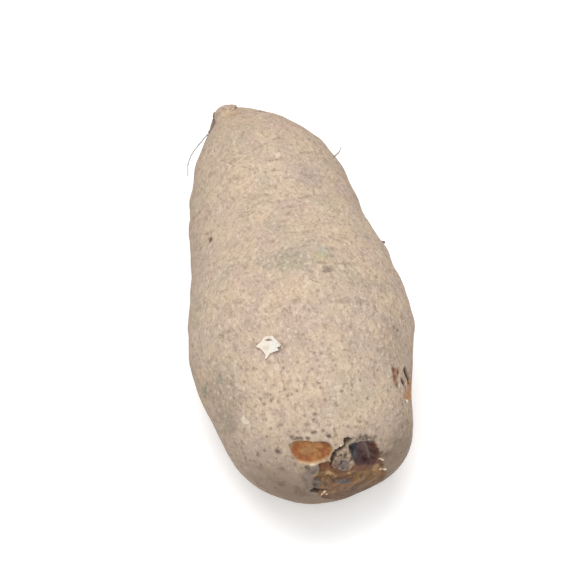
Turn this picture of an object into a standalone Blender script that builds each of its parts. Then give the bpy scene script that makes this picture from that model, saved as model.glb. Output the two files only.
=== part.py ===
"""A yam that lies on its side: one grown tuber, and a torn white scrap stuck to its skin.

Metres, +Z up. The blunt tail points to -Y and the crown, with its stem scar, to +Y. The origin is on the
ground under the middle of the tuber. A place on the skin is given by how far along it is from the tail,
and by how far around it is from the top line, in degrees, positive towards +X.
"""

import math
import random

import bmesh
import bpy
import numpy as np
from mathutils import Vector, noise

# Driving dimensions: sections of the tuber, as along, width, x of the middle, height of the middle
SECTIONS = (
    (0.000, 0.000, -0.008, 0.049),
    (0.006, 0.041, -0.002, 0.046),
    (0.020, 0.084, 0.002, 0.046),
    (0.046, 0.105, 0.000, 0.049),
    (0.087, 0.124, 0.000, 0.053),
    (0.131, 0.117, 0.002, 0.051),
    (0.175, 0.104, 0.000, 0.047),
    (0.213, 0.090, 0.000, 0.047),
    (0.241, 0.067, -0.003, 0.047),
    (0.256, 0.042, -0.008, 0.049),
    (0.265, 0.000, -0.017, 0.055),
)
LENGTH = SECTIONS[-1][0]
HEIGHT_TO_WIDTH = 0.88
SEED = 11

# Relief of the skin: height or depth, and size
LUMPS = ((0.0015, 0.050), (0.0008, 0.018))
GROWTH_RINGS = (0.089, 0.111, 0.136, 0.159, 0.184, 0.206, 0.227, 0.245)
RING_HEIGHT = 0.0010
RING_HALF_WIDTH = 0.0045
RING_WANDER = 0.0060
RING_WANDER_SIZE = 0.040
RING_FADE_SIZE = 0.025
# A dent on the -X flank and a swelling beside the wound, as along, around, height and size
FLANK_DENT = (0.160, -73, -0.0012, 0.006)
TAIL_SWELLING = (0.014, 105, 0.0016, 0.016)

# Knife slice: a shallow oval facet near the tail
SLICE_PLACE = (0.0135, -18)
SLICE_MIDDLE = (0.0006, 0.0000)
SLICE_HALF_SIZE = (0.0110, 0.0065)
SLICE_DEPTH = 0.0016
SLICE_TILT = 0.06
SLICE_RIM = 0.0004

# Broken wound at the tail: its edge, the rotted hollow in it and the crack that leaves it
WOUND_PLACE = (0.008, 24)
WOUND_EDGE = (
    (0.018, 0.000),
    (0.021, -0.008),
    (0.022, -0.018),
    (0.018, -0.028),
    (-0.003, -0.027),
    (-0.015, -0.021),
    (-0.020, -0.011),
    (-0.016, -0.003),
    (-0.017, 0.001),
    (-0.009, 0.004),
    (-0.004, -0.003),
    (0.005, -0.002),
)
WOUND_DEPTH = 0.0013
WOUND_SLOPE = 0.0015
WOUND_UNEVENNESS = 0.6
RAGGED_DEPTH = 0.0010
RAGGED_SIZE = 0.005
HOLLOW_MIDDLE = (0.0103, 0.0025)
HOLLOW_HALF_SIZE = (0.0074, 0.0086)
HOLLOW_DEPTH = 0.0050
HOLLOW_SLOPE = 0.0030
HOLLOW_UNEVENNESS = 0.2
CRACK = ((0.011, 0.0125), (0.001, 0.0130), (-0.003, 0.0100), (-0.007, 0.0080), (-0.009, 0.0030))
CRACK_HALF_WIDTH = 0.0010
CRACK_DEPTH = 0.0020

# Scar on the +X flank: three gouges, each from, to, half width and depth
SCAR_PLACE = (0.047, 66)
SCAR_GOUGES = (
    ((0.008, 0.003), (0.006, -0.005), 0.0014, 0.0022),
    ((0.001, 0.003), (-0.002, -0.002), 0.0012, 0.0016),
    ((0.006, -0.006), (-0.004, -0.010), 0.0026, 0.0014),
)

# Stem scar on the crown: a corky button, as the place of its middle, its half sizes and its roughness
BUTTON_PLACE = (0.2570, -30)
BUTTON_HALF_SIZE = (0.0072, 0.0062, 0.0042)
BUTTON_LIFT = 0.0004
BUTTON_ROUGHNESS = 0.0011
BUTTON_DIMPLE = 0.0016
BUTTON_DIMPLE_RIM = 0.75
BUTTON_LUMP_SIZE = 0.40

# Rootlets: points as along, around and height over the skin
ROOTLET_RADIUS = 0.00045
ROOTLET_SUNK = 0.0030
ROOTLET_TAPER = 0.55
LONG_ROOTLET = (
    (0.2470, -61, 0.0),
    (0.2400, -67, 0.0020),
    (0.2340, -72, 0.0034),
    (0.2270, -76, 0.0040),
    (0.2200, -80, 0.0038),
)
SHORT_ROOTLET = ((0.2120, 60, 0.0), (0.2128, 61, 0.0024), (0.2142, 62, 0.0046), (0.2160, 63, 0.0066))
NUB = ((0.1470, 70, 0.0), (0.1472, 71, 0.0010), (0.1480, 72, 0.0019))
NUB_RADIUS = 0.0010
SPUR = ((0.2520, -56, 0.0), (0.2530, -58, 0.0012), (0.2550, -60, 0.0020))
SPUR_RADIUS = 0.0009
HIDDEN_ROOTLETS = 9
HIDDEN_ALONG = (0.10, 0.24)
HIDDEN_AROUND = (118, 138)
HIDDEN_LENGTH = (0.004, 0.009)
HIDDEN_LEAN = (-0.006, 0.002)
HIDDEN_RISE = 5

# Torn scrap: its outline in its own plane, and its slit
SCRAP_PLACE = (0.0640, -22)
SCRAP_GAP = 0.0004
SCRAP_THICKNESS = 0.0008
SCRAP_DROPPED_FROM = 0.020
SCRAP_OUTLINE = (
    (-0.0030, 0.0056),
    (0.0022, 0.0060),
    (0.0030, 0.0028),
    (0.0061, 0.0016),
    (0.0056, 0.0000),
    (0.0060, -0.0022),
    (0.0020, -0.0030),
    (-0.0012, -0.0064),
    (-0.0022, -0.0036),
    (-0.0056, -0.0022),
    (-0.0040, -0.0006),
    (-0.0062, 0.0012),
    (-0.0040, 0.0024),
)
SCRAP_SLIT = ((-0.0012, 0.0034), (0.0008, 0.0037), (0.0007, 0.0028), (-0.0011, 0.0026))

# Fineness of the meshes, and how far round the wounds, the scar and the crown they are finer
SIDES = 48
RINGS = 46
FINE_AROUND_WOUNDS = 2
FINE_AT_CROWN = 1
TAIL_WOUNDS_SHIFT = (0.004, 0.0, -0.008)
TAIL_WOUNDS_REACH = 0.028
SCAR_REACH = 0.014
CROWN_REACH = 0.018


def clear_scene():
    for thing in list(bpy.data.objects):
        bpy.data.objects.remove(thing, do_unlink=True)


def collection(name, hidden=False):
    made = bpy.data.collections.new(name)
    bpy.context.scene.collection.children.link(made)
    made.hide_render = hidden
    return made


def material(name, colour, roughness):
    made = bpy.data.materials.new(name)
    made.use_nodes = True
    shader = made.node_tree.nodes["Principled BSDF"]
    shader.inputs["Base Color"].default_value = (*colour, 1.0)
    shader.inputs["Roughness"].default_value = roughness
    shader.inputs["Metallic"].default_value = 0.0
    return made


def smooth_curve(xs, ys):
    """The natural cubic spline through the points, as a function."""
    xs, ys = np.array(xs), np.array(ys)
    step = np.diff(xs)
    system, slopes = np.eye(len(xs)), np.zeros(len(xs))
    for i in range(1, len(xs) - 1):
        system[i, i - 1 : i + 2] = step[i - 1], 2 * (step[i - 1] + step[i]), step[i]
        slopes[i] = 6 * ((ys[i + 1] - ys[i]) / step[i] - (ys[i] - ys[i - 1]) / step[i - 1])
    bend = np.linalg.solve(system, slopes)

    def value(x):
        i = int(np.clip(np.searchsorted(xs, x) - 1, 0, len(step) - 1))
        before, after, h = x - xs[i], xs[i + 1] - x, step[i]
        cubic = (bend[i] * after**3 + bend[i + 1] * before**3) / (6 * h)
        line = (ys[i] / h - bend[i] * h / 6) * after + (ys[i + 1] / h - bend[i + 1] * h / 6) * before
        return float(cubic + line)

    return value


ALONG, WIDTH, MIDDLE_X, MIDDLE_Z = zip(*SECTIONS)
# The squares of the half widths are joined smoothly, which rounds both ends
half_width_squared = smooth_curve(ALONG, [(w / 2) ** 2 for w in WIDTH])
middle_x = smooth_curve(ALONG, MIDDLE_X)
middle_z = smooth_curve(ALONG, MIDDLE_Z)


def smooth_form(along, around):
    """The point of the tuber without its relief."""
    half = math.sqrt(max(half_width_squared(along), 0.0))
    angle = math.radians(around)
    return Vector(
        (
            middle_x(along) + half * math.sin(angle),
            along - LENGTH / 2,
            middle_z(along) + HEIGHT_TO_WIDTH * half * math.cos(angle),
        )
    )


class Spot:
    """A level frame on the skin: across is horizontal, up is at right angles to it, out is the normal."""

    def __init__(self, along, around):
        step_along, step_around = 0.0005, 0.5
        self.middle = smooth_form(along, around)
        lengthwise = smooth_form(along + step_along, around) - smooth_form(along - step_along, around)
        sideways = smooth_form(along, around + step_around) - smooth_form(along, around - step_around)
        self.out = sideways.cross(lengthwise).normalized()
        self.across = Vector((0, 0, 1)).cross(self.out).normalized()
        self.up = self.out.cross(self.across)

    def flat(self, point):
        offset = point - self.middle
        return offset.dot(self.across), offset.dot(self.up), offset.dot(self.out)

    def point(self, across, up, out):
        return self.middle + self.across * across + self.up * up + self.out * out


SLICE = Spot(*SLICE_PLACE)
WOUND = Spot(*WOUND_PLACE)
SCAR = Spot(*SCAR_PLACE)
DENT = Spot(*FLANK_DENT[:2])
SWELLING = Spot(*TAIL_SWELLING[:2])
REACH_OF_A_SPOT = 0.040


def smoothstep(low, high, value):
    t = min(max((value - low) / (high - low), 0.0), 1.0)
    return t * t * (3 - 2 * t)


def distance_to_line(x, y, start, end):
    dx, dy = end[0] - start[0], end[1] - start[1]
    t = ((x - start[0]) * dx + (y - start[1]) * dy) / (dx * dx + dy * dy)
    t = min(max(t, 0.0), 1.0)
    return math.hypot(x - start[0] - t * dx, y - start[1] - t * dy)


def inside_distance(x, y, outline):
    """Distance to the outline's edge, positive inside."""
    inside, nearest = False, 1.0
    for start, end in zip(outline, outline[1:] + outline[:1]):
        nearest = min(nearest, distance_to_line(x, y, start, end))
        if (start[1] > y) != (end[1] > y):
            crossing = start[0] + (y - start[1]) * (end[0] - start[0]) / (end[1] - start[1])
            inside = inside != (x < crossing)
    return nearest if inside else -nearest


def ellipse_distance(x, y, middle, half_size):
    """About the distance to the ellipse's edge, positive inside."""
    r = math.hypot((x - middle[0]) / half_size[0], (y - middle[1]) / half_size[1])
    return (1 - r) * min(half_size)


def skin_relief(point, along):
    """Height of the lumps, the growth rings, the dent and the swelling over the smooth form."""
    height = sum(h * noise.noise(point / size) for h, size in LUMPS)
    wander = RING_WANDER * noise.noise(point / RING_WANDER_SIZE)
    strength = 0.6 + 0.8 * noise.noise(point / RING_FADE_SIZE + Vector((7, 3, 5)))
    for ring in GROWTH_RINGS:
        height += RING_HEIGHT * strength * math.exp(-(((along + wander - ring) / RING_HALF_WIDTH) ** 2))
    for spot, (_, _, rise, size) in ((DENT, FLANK_DENT), (SWELLING, TAIL_SWELLING)):
        height += rise * math.exp(-(((point - spot.middle).length / size) ** 2))
    return height


def wound_depth(point):
    """How deep the broken wound, its hollow and its crack go under the skin here."""
    if (point - WOUND.middle).length > REACH_OF_A_SPOT:
        return 0.0
    x, y, _ = WOUND.flat(point)
    rough = noise.noise(point / RAGGED_SIZE)
    ragged = RAGGED_DEPTH * rough
    torn = smoothstep(0.0, WOUND_SLOPE, inside_distance(x, y, WOUND_EDGE) + ragged)
    depth = torn * WOUND_DEPTH * (1.0 + WOUND_UNEVENNESS * rough)
    hollow = smoothstep(0.0, HOLLOW_SLOPE, ellipse_distance(x, y, HOLLOW_MIDDLE, HOLLOW_HALF_SIZE) + ragged)
    depth = max(depth, hollow * HOLLOW_DEPTH * (1.0 + HOLLOW_UNEVENNESS * rough))
    crack = min(distance_to_line(x, y, a, b) for a, b in zip(CRACK, CRACK[1:]))
    return max(depth, CRACK_DEPTH * (1 - smoothstep(0.0, 2 * CRACK_HALF_WIDTH, crack)))


def scar_depth(point):
    if (point - SCAR.middle).length > REACH_OF_A_SPOT:
        return 0.0
    x, y, _ = SCAR.flat(point)
    depths = [
        depth * (1 - smoothstep(0.3 * half, 1.5 * half, distance_to_line(x, y, start, end)))
        for start, end, half, depth in SCAR_GOUGES
    ]
    return max(depths)


def sliced(point):
    """The point pushed down to the knife's plane, if it is in the slice."""
    x, y, height = SLICE.flat(point)
    inside = smoothstep(-SLICE_RIM, SLICE_RIM, ellipse_distance(x, y, SLICE_MIDDLE, SLICE_HALF_SIZE))
    plane = -SLICE_DEPTH - SLICE_TILT * (y - SLICE_MIDDLE[1])
    if inside == 0.0 or height < plane or (point - SLICE.middle).length > REACH_OF_A_SPOT:
        return point
    return SLICE.point(x, y, height + (plane - height) * inside)


def place_on_sphere(co):
    """Along and around of a vertex of the unit sphere whose poles are on Z."""
    return (1 + co.z) / 2 * LENGTH, math.degrees(math.atan2(co.x, -co.y))


def refine(mesh, near, reach, cuts):
    """Divides the faces of the unit sphere that come to lie this near to a point of the tuber."""
    faces = []
    for face in mesh.faces:
        place = place_on_sphere(face.calc_center_median())
        if (smooth_form(*place) - near).length < reach:
            faces.append(face)
    edges = list({edge for face in faces for edge in face.edges})
    bmesh.ops.subdivide_edges(mesh, edges=edges, cuts=cuts, use_grid_fill=True)


def carve(mesh):
    """Warps the unit sphere to the tuber, then adds the skin's relief and takes out the wounds."""
    places = {}
    for vertex in mesh.verts:
        vertex.co.normalize()
        places[vertex] = place_on_sphere(vertex.co)
        vertex.co = smooth_form(*places[vertex])
    mesh.normal_update()
    moved = {}
    for vertex in mesh.verts:
        relief = skin_relief(vertex.co, places[vertex][0])
        depth = max(wound_depth(vertex.co), scar_depth(vertex.co))
        moved[vertex] = sliced(vertex.co + vertex.normal * (relief - depth))
    for vertex, point in moved.items():
        vertex.co = point


def cut_resting_face(mesh):
    """Cuts the underside at the ground, which leaves one flat face to rest on."""
    geometry = mesh.verts[:] + mesh.edges[:] + mesh.faces[:]
    cut = bmesh.ops.bisect_plane(
        mesh, geom=geometry, dist=1e-6, plane_co=(0, 0, 0), plane_no=(0, 0, 1), clear_inner=True
    )
    rim = [item for item in cut["geom_cut"] if isinstance(item, bmesh.types.BMEdge)]
    bmesh.ops.edgeloop_fill(mesh, edges=rim)
    bmesh.ops.recalc_face_normals(mesh, faces=mesh.faces)


def object_from(mesh, name, home, finish=None):
    data = bpy.data.meshes.new(name)
    mesh.to_mesh(data)
    mesh.free()
    data.shade_smooth()
    made = bpy.data.objects.new(name, data)
    home.objects.link(made)
    if finish:
        data.materials.append(finish)
    return made


def make_tuber(home, finish):
    mesh = bmesh.new()
    bmesh.ops.create_uvsphere(mesh, u_segments=SIDES, v_segments=RINGS, radius=1.0)
    tail_wounds = (SLICE.middle + WOUND.middle) / 2 + Vector(TAIL_WOUNDS_SHIFT)
    refine(mesh, tail_wounds, TAIL_WOUNDS_REACH, FINE_AROUND_WOUNDS)
    refine(mesh, SCAR.middle, SCAR_REACH, FINE_AROUND_WOUNDS)
    refine(mesh, smooth_form(*BUTTON_PLACE), CROWN_REACH, FINE_AT_CROWN)
    carve(mesh)
    cut_resting_face(mesh)
    return object_from(mesh, "tuber", home, finish)


def stem_button(home):
    """The corky button that the stem left: a rough lump, dimpled on top and sunk into the crown."""
    spot = Spot(*BUTTON_PLACE)
    mesh = bmesh.new()
    bmesh.ops.create_icosphere(mesh, subdivisions=3, radius=1.0)
    for vertex in mesh.verts:
        x, y, z = vertex.co
        rough = 1 + 2 * BUTTON_ROUGHNESS / BUTTON_HALF_SIZE[0] * noise.noise(vertex.co / BUTTON_LUMP_SIZE)
        dimple = BUTTON_DIMPLE * smoothstep(BUTTON_DIMPLE_RIM, 1.0, z)
        a, b, c = (size * rough * part for size, part in zip(BUTTON_HALF_SIZE, (x, y, z)))
        vertex.co = spot.point(a, b, c + BUTTON_LIFT - dimple)
    return object_from(mesh, "stem_button", home)


def rootlet(name, places, radius, home):
    """A thin root over the skin, from a sunk end, made a closed mesh that a Boolean can join."""
    spots = [Spot(along, around) for along, around, _ in places]
    points = [spots[0].point(0, 0, -ROOTLET_SUNK)]
    points += [spot.point(0, 0, height) for spot, (_, _, height) in zip(spots, places)]
    curve = bpy.data.curves.new(name, "CURVE")
    curve.dimensions = "3D"
    curve.bevel_depth = radius
    curve.bevel_resolution = 1
    curve.use_fill_caps = True
    spline = curve.splines.new("POLY")
    spline.points.add(len(points) - 1)
    for i, point in enumerate(points):
        spline.points[i].co = (*point, 1.0)
        spline.points[i].radius = 1.0 - ROOTLET_TAPER * i / (len(points) - 1)
    drawn = bpy.data.objects.new(name + "_line", curve)
    home.objects.link(drawn)
    bpy.context.view_layer.update()
    graph = bpy.context.evaluated_depsgraph_get()
    data = bpy.data.meshes.new_from_object(drawn.evaluated_get(graph))
    mesh = bmesh.new()
    mesh.from_mesh(data)
    bmesh.ops.remove_doubles(mesh, verts=mesh.verts, dist=1e-5)
    mesh.to_mesh(data)
    mesh.free()
    made = bpy.data.objects.new(name, data)
    made.matrix_world = drawn.matrix_world
    home.objects.link(made)
    bpy.data.objects.remove(drawn, do_unlink=True)
    return made


def hidden_rootlets(home):
    """Short rootlets low on both flanks, where the tuber grew them at random."""
    draw = random.Random(SEED)
    for i in range(HIDDEN_ROOTLETS):
        side = -1 if i % 2 else 1
        along, around = draw.uniform(*HIDDEN_ALONG), side * draw.uniform(*HIDDEN_AROUND)
        length, lean = draw.uniform(*HIDDEN_LENGTH), draw.uniform(*HIDDEN_LEAN)
        places = []
        for t in (0.0, 0.35, 0.7, 1.0):
            places.append((along + lean * t * t, around - side * HIDDEN_RISE * t, length * t))
        rootlet(f"hidden_rootlet_{i}", places, ROOTLET_RADIUS, home)


def fuse(body, grown):
    """Joins what grows from the body to it as one solid."""
    joint = body.modifiers.new("grown_together", "BOOLEAN")
    joint.operation = "UNION"
    joint.operand_type = "COLLECTION"
    joint.collection = grown
    bpy.context.view_layer.update()
    graph = bpy.context.evaluated_depsgraph_get()
    body.data = bpy.data.meshes.new_from_object(body.evaluated_get(graph))
    body.modifiers.clear()
    for thing in list(grown.objects):
        bpy.data.objects.remove(thing, do_unlink=True)


def make_scrap(tuber, home, finish):
    """The torn scrap: a flat star with a slit, bent to follow the skin at a small gap."""
    spot = Spot(*SCRAP_PLACE)
    curve = bpy.data.curves.new("scrap_outline", "CURVE")
    curve.dimensions = "2D"
    curve.fill_mode = "BOTH"
    curve.extrude = SCRAP_THICKNESS / 2
    for outline in (SCRAP_OUTLINE, SCRAP_SLIT):
        spline = curve.splines.new("POLY")
        spline.points.add(len(outline) - 1)
        spline.use_cyclic_u = True
        for i, (x, y) in enumerate(outline):
            spline.points[i].co = (x, y, 0.0, 1.0)
    drawn = bpy.data.objects.new("scrap_outline", curve)
    home.objects.link(drawn)
    bpy.context.view_layer.update()
    graph = bpy.context.evaluated_depsgraph_get()
    data = bpy.data.meshes.new_from_object(drawn.evaluated_get(graph))
    bpy.data.objects.remove(drawn, do_unlink=True)
    mesh = bmesh.new()
    mesh.from_mesh(data)
    bmesh.ops.remove_doubles(mesh, verts=mesh.verts, dist=1e-5)
    for vertex in mesh.verts:
        x, y, z = vertex.co
        start = spot.point(x, y, SCRAP_DROPPED_FROM)
        _, skin, _, _ = tuber.ray_cast(start, -spot.out)
        vertex.co = skin + spot.out * (SCRAP_GAP + SCRAP_THICKNESS / 2 + z)
    bmesh.ops.recalc_face_normals(mesh, faces=mesh.faces)
    return object_from(mesh, "white_scrap", home, finish)


def main():
    clear_scene()
    yam = collection("yam")
    grown = collection("grown_on", hidden=True)
    skin = material("yam_skin", (0.58, 0.45, 0.34), 0.85)
    paper = material("scrap_white", (0.85, 0.80, 0.72), 0.7)
    tuber = make_tuber(yam, skin)
    stem_button(grown)
    rootlet("long_rootlet", LONG_ROOTLET, ROOTLET_RADIUS, grown)
    rootlet("short_rootlet", SHORT_ROOTLET, ROOTLET_RADIUS, grown)
    rootlet("nub", NUB, NUB_RADIUS, grown)
    rootlet("spur", SPUR, SPUR_RADIUS, grown)
    hidden_rootlets(grown)
    fuse(tuber, grown)
    bpy.context.view_layer.update()
    make_scrap(tuber, yam, paper)


main()
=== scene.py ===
"""The look of the yam: its skin, wounds, crown, rootlets and the torn scrap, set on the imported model.

Metres, +Z up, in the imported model's frame. A place on the skin is given by how far along it is from the
tail, and by how far around it is from the top line, in degrees, positive towards +X. Marks in the wounds
are given in millimetres in a level frame: across, then up.
"""

import math
import random

import bmesh
import bpy
import numpy as np
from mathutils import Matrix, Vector, geometry, noise
from mathutils.bvhtree import BVHTree

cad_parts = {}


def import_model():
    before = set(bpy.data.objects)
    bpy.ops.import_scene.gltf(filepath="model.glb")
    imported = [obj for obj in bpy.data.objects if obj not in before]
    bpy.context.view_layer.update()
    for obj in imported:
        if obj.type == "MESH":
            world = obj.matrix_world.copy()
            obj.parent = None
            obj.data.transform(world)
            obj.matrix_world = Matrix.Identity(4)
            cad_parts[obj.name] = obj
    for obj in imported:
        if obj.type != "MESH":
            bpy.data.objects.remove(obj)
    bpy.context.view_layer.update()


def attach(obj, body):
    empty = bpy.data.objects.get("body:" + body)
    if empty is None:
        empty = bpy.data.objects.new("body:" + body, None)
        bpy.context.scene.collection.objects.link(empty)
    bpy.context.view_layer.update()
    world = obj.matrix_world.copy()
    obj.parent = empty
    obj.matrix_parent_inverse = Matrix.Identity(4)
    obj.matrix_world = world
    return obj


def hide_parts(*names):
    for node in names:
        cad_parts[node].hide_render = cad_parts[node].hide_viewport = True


MM = 0.001
SEED = 11
RAY_START = 0.012
BODY = "root"

# The solid's own form: sections of the tuber, as along, width, x of the middle, height of the middle
SECTIONS = (
    (0.000, 0.000, -0.008, 0.049),
    (0.006, 0.041, -0.002, 0.046),
    (0.020, 0.084, 0.002, 0.046),
    (0.046, 0.105, 0.000, 0.049),
    (0.087, 0.124, 0.000, 0.053),
    (0.131, 0.117, 0.002, 0.051),
    (0.175, 0.104, 0.000, 0.047),
    (0.213, 0.090, 0.000, 0.047),
    (0.241, 0.067, -0.003, 0.047),
    (0.256, 0.042, -0.008, 0.049),
    (0.265, 0.000, -0.017, 0.055),
)
LENGTH = SECTIONS[-1][0]
HEIGHT_TO_WIDTH = 0.88
LUMPS = ((0.0015, 0.050), (0.0008, 0.018))
GROWTH_RINGS = (0.089, 0.111, 0.136, 0.159, 0.184, 0.206, 0.227, 0.245)
RING_HEIGHT = 0.0010
RING_HALF_WIDTH = 0.0045
RING_WANDER = 0.0060
RING_WANDER_SIZE = 0.040
RING_FADE_SIZE = 0.025
FLANK_DENT = (0.160, -73, -0.0012, 0.006)
TAIL_SWELLING = (0.014, 105, 0.0016, 0.016)

# Finer relief of the skin: height and size
GRAIN = ((0.00022, 0.0070), (0.00012, 0.0032))

# Knife slice: its edge and marks in millimetres
SLICE_PLACE = (0.0135, -18)
SLICE_EDGE = (
    (-10.7, 1), (-10, 3.3), (-8.6, 4.7), (-5.6, 5.3), (-1.5, 5.5), (0.7, 4.9), (5.4, 5.3), (8.1, 5),
    (9.9, 3.6), (10.8, 1.7), (10.4, -0.4), (9.5, -3), (7.4, -4.6), (4.4, -5.9), (1.2, -6.9), (-1.3, -6.8),
    (-4.3, -6.4), (-7, -5.6), (-8.4, -3.7), (-9.9, -1.7),
)
SLICE_DEPTH = 0.0016
SLICE_TILT = 0.06
SLICE_RED_PARTS = (((-7.6, 2.2), (-7.2, -2.6)), ((-4.6, -4.8), (-0.6, -5.6)), ((6.4, -2.4), (9.6, -0.6)))
SLICE_PALE_PART = ((-3.4, -1), (0.6, 0.4))
# Pale skin edge along the foot of the slice, partly painted highlight, and painted highlight spots on it
SLICE_LOWER_RIM = ((-6, -6.6), (-3.6, -7), (-1.3, -7.4), (1.4, -7.5), (4.4, -6.4), (7.4, -5.1))
SLICE_HIGHLIGHT_SPOTS = ((1.2, -7.6), (2.2, -7.3), (0.2, -7.6))
# Painted shadows of the skin's step, as dark lines on the skin above the slice
SLICE_STEP_SHADOWS = (
    ((-9.8, 6.5), (-7.5, 6.9), (-4.9, 7.1)),
    ((-2, 7.2), (-1.2, 7)),
    ((0.4, 10.2), (1.9, 10.4)),
    ((8.4, 8.4), (9.4, 8.1)),
)

# Broken wound: outlines, lines and spots in millimetres
WOUND_PLACE = (0.008, 24)
WOUND_EDGE = (
    (18.6, 1), (19.8, -8), (20.6, -15), (21.6, -19), (20.8, -24), (17, -27.6), (11.6, -29.8), (5, -30),
    (-1, -30.8), (-6.6, -29.2), (-11.5, -26), (-15.8, -21.4), (-17, -16), (-20.6, -11), (-19.8, -5.8),
    (-18, -2.3), (-15.6, 0), (-14.2, 3.6), (-9.4, 4.6), (-7, 2), (-3, -3), (5, -2),
)
WOUND_DEPTH = 0.0013
WOUND_UNEVENNESS = 0.6
RAGGED_SIZE = 0.005
WOUND_STAIN = (
    (-20.6, 2.2), (-16.4, 3.2), (-13, 4.4), (-14.8, -0.4), (-17, -3.4), (-20, -9), (-23.5, -9.5),
    (-24.6, -2),
)
RED_PATCH = ((-13.8, 2.4), (-11.7, 3.6), (-9.3, 3.2), (-9, 0.4), (-11.7, -0.7), (-14, 0.6))
RED_BAND = ((3.1, -5.2), (7.1, -7.4), (12.6, -10.2), (17.6, -11.6))
GOLDEN_FLESH = (
    (3.2, -8.6), (8.7, -12), (14.8, -14.2), (19.8, -16.6), (20.6, -22), (14.2, -24), (7.2, -20.6),
    (2.6, -17.6),
)
CENTRAL_FLESH = ((-14.6, -5), (-10.9, -6.2), (-11.5, -12.6), (-15.2, -11))
# Painted shade under the lower edge of the skin island
SHADE_UNDER_ISLAND = ((-6.9, -2.6), (-5.3, -4.9), (-2.6, -5.6))
OCHRE_RIDGES = (
    ((-17.7, -2.1), (-15, -1.3), (-12.2, -2.6)),
    ((-10.8, -2), (-8.6, -4.9), (-8, -6.6)),
    ((-6.2, -6), (-3, -6.8), (0, -6.7)),
)
RIDGE_SHADOW_DROP = 1.9
GREY_PATCHES = (
    ((-18.8, -4.1), (-17, -3.6), (-15.3, -4.9), (-16, -9.4), (-18, -10.1), (-20.1, -9.4), (-19.8, -6.4)),
    ((-7.5, -7.9), (-4.9, -9.5), (-1.4, -10.7), (0.9, -13.2), (0.4, -15.7), (-3.9, -14.3), (-6.8, -11.7)),
)
GREY_PATCH_SPOTS = ((-4.1, -12.6), (-1.6, -12.9), (-18.6, -7.4))
BLACK_LINES = (((-20.6, -11.2), (-18.6, -12.4), (-16.8, -13.4)), ((-14.6, -14.4), (-13.6, -15)))
OCHRE_SPOTS = ((16.7, -12.4), (15.2, -13.4))
HOLLOW_EDGE = (
    (3, 9.9), (5.6, 10), (10.4, 9.4), (13.4, 7.9), (16.3, 6.1), (17.6, 2.6), (18.4, -0.6), (18.4, -5),
    (17.3, -10), (14.2, -9.8), (9.3, -6.8), (4.8, -4), (3.2, 0.4), (2.8, 3.9), (2.5, 6.7), (2.1, 8.9),
)
HOLLOW_DEPTH = 0.0046
INK_STAIN = ((3, 9.8), (5.8, 9.6), (9, 7.7), (8.4, 3.3), (7.6, -2.6), (4.4, -1.9), (3.2, 1.1), (2.4, 7.4))
PALE_ARC = ((10.4, 8.2), (12.3, 4.7), (13.8, 1.1), (14.2, -2.1), (14.4, -6.6))
RED_RIM = ((16.3, 5.6), (17.3, 0.6), (17.7, -3.9), (17, -8.2))
RED_SPOT = ((16.1, 2.8),)
CRACK_BLOB = ((0.4, 13), (0.9, 14.3), (2.6, 14.5), (5, 13), (2.6, 11.9), (1.1, 11.4))
CRACK = ((1.3, 12), (0.3, 10.7), (-2, 9.4), (-4.4, 8.6), (-5.6, 7.5), (-7.1, 4.9), (-8.8, 1.7))
CRACK_HALF_WIDTHS = (0.9, 1, 1.2, 1.7, 1.6, 1, 0.7)
PALE_STRIP = ((8.8, 13.7), (6.6, 13), (4.3, 12.2), (2.2, 10.8), (1, 9.7))
# The rim strip and the top line over the hollow: grey-brown mottling, darkened partly as painted shade of
# the hollow's upper wall
RIM_STRIP_AND_SHADE = ((8.6, 13.4), (9.9, 12.3), (11.9, 11.2), (14.3, 9.8), (16.6, 8.4))
RIM_SPOTS = ((12.3, 10.3), (9, 12.6))
HOLLOW_TOP = ((3.2, 11), (6.4, 10.9), (10.2, 10.4), (13.6, 8.8), (16.4, 6.8))
ISLAND = (
    (0.8, 9.9), (2.4, 8.8), (2, 6.2), (2.8, 4.6), (2.2, 2.8), (3, 0.5), (3.6, -1.3), (1.8, -1.7),
    (2, -3.7), (-0.1, -4.9), (-2.7, -4.6), (-5.6, -2.2), (-7.5, 0.2), (-7.9, 1.8), (-6.2, 4.8),
    (-4.6, 6.8), (-1.8, 8.6),
)
ISLAND_GREY = ((-4.7, 2.8), (-1.7, 2.5), (0.4, 0.4), (-0.6, -3.4), (-3.3, -3.2), (-5.4, 1.3))
ISLAND_PALE_SPOTS = ((1.1, 7.9), (1.3, 4.6), (2.2, -0.4), (1.3, -2.8), (-2, 7.2), (-0.6, 8.6))
ISLAND_DARK_SPOTS = ((2.3, 2.1), (-2.9, 6.2), (-3.3, 1.6), (-3.4, -2.2), (-0.4, 5.6))
PALE_BITS = (
    (19.4, -7.6, 1.3), (20.6, -15.7, 0.9), (18.4, -15.4, 0.8), (-15.3, -17.8, 1.1), (-13.7, -16.3, 0.9),
    (-1.5, 11.8, 0.9), (-3.2, 10.8, 0.7), (13.9, 8.6, 0.6), (-12.6, -19.6, 0.6),
)
DARK_BLOTCHES = (
    (-13, -9.4, 1.6), (-8.6, -9.6, 1.7), (-6.4, -18, 2.4), (2.6, -9.6, 1.5), (6.8, -13.2, 1.5),
    (2.4, -21, 2.4), (-2.2, -19.6, 1.4), (19.6, -12.6, 1.3), (-8.2, 0.2, 0.9), (-15.6, -4.6, 1),
    (-12, -2.6, 1),
)
DARK_BITS = (
    (20.8, -18.2, 1.2), (19.8, -2.8, 1.2), (-20.8, 3.2, 1.1), (-10.4, 5.6, 0.7), (2, -24.6, 1.6),
    (7, -25.4, 1.4),
)

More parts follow.
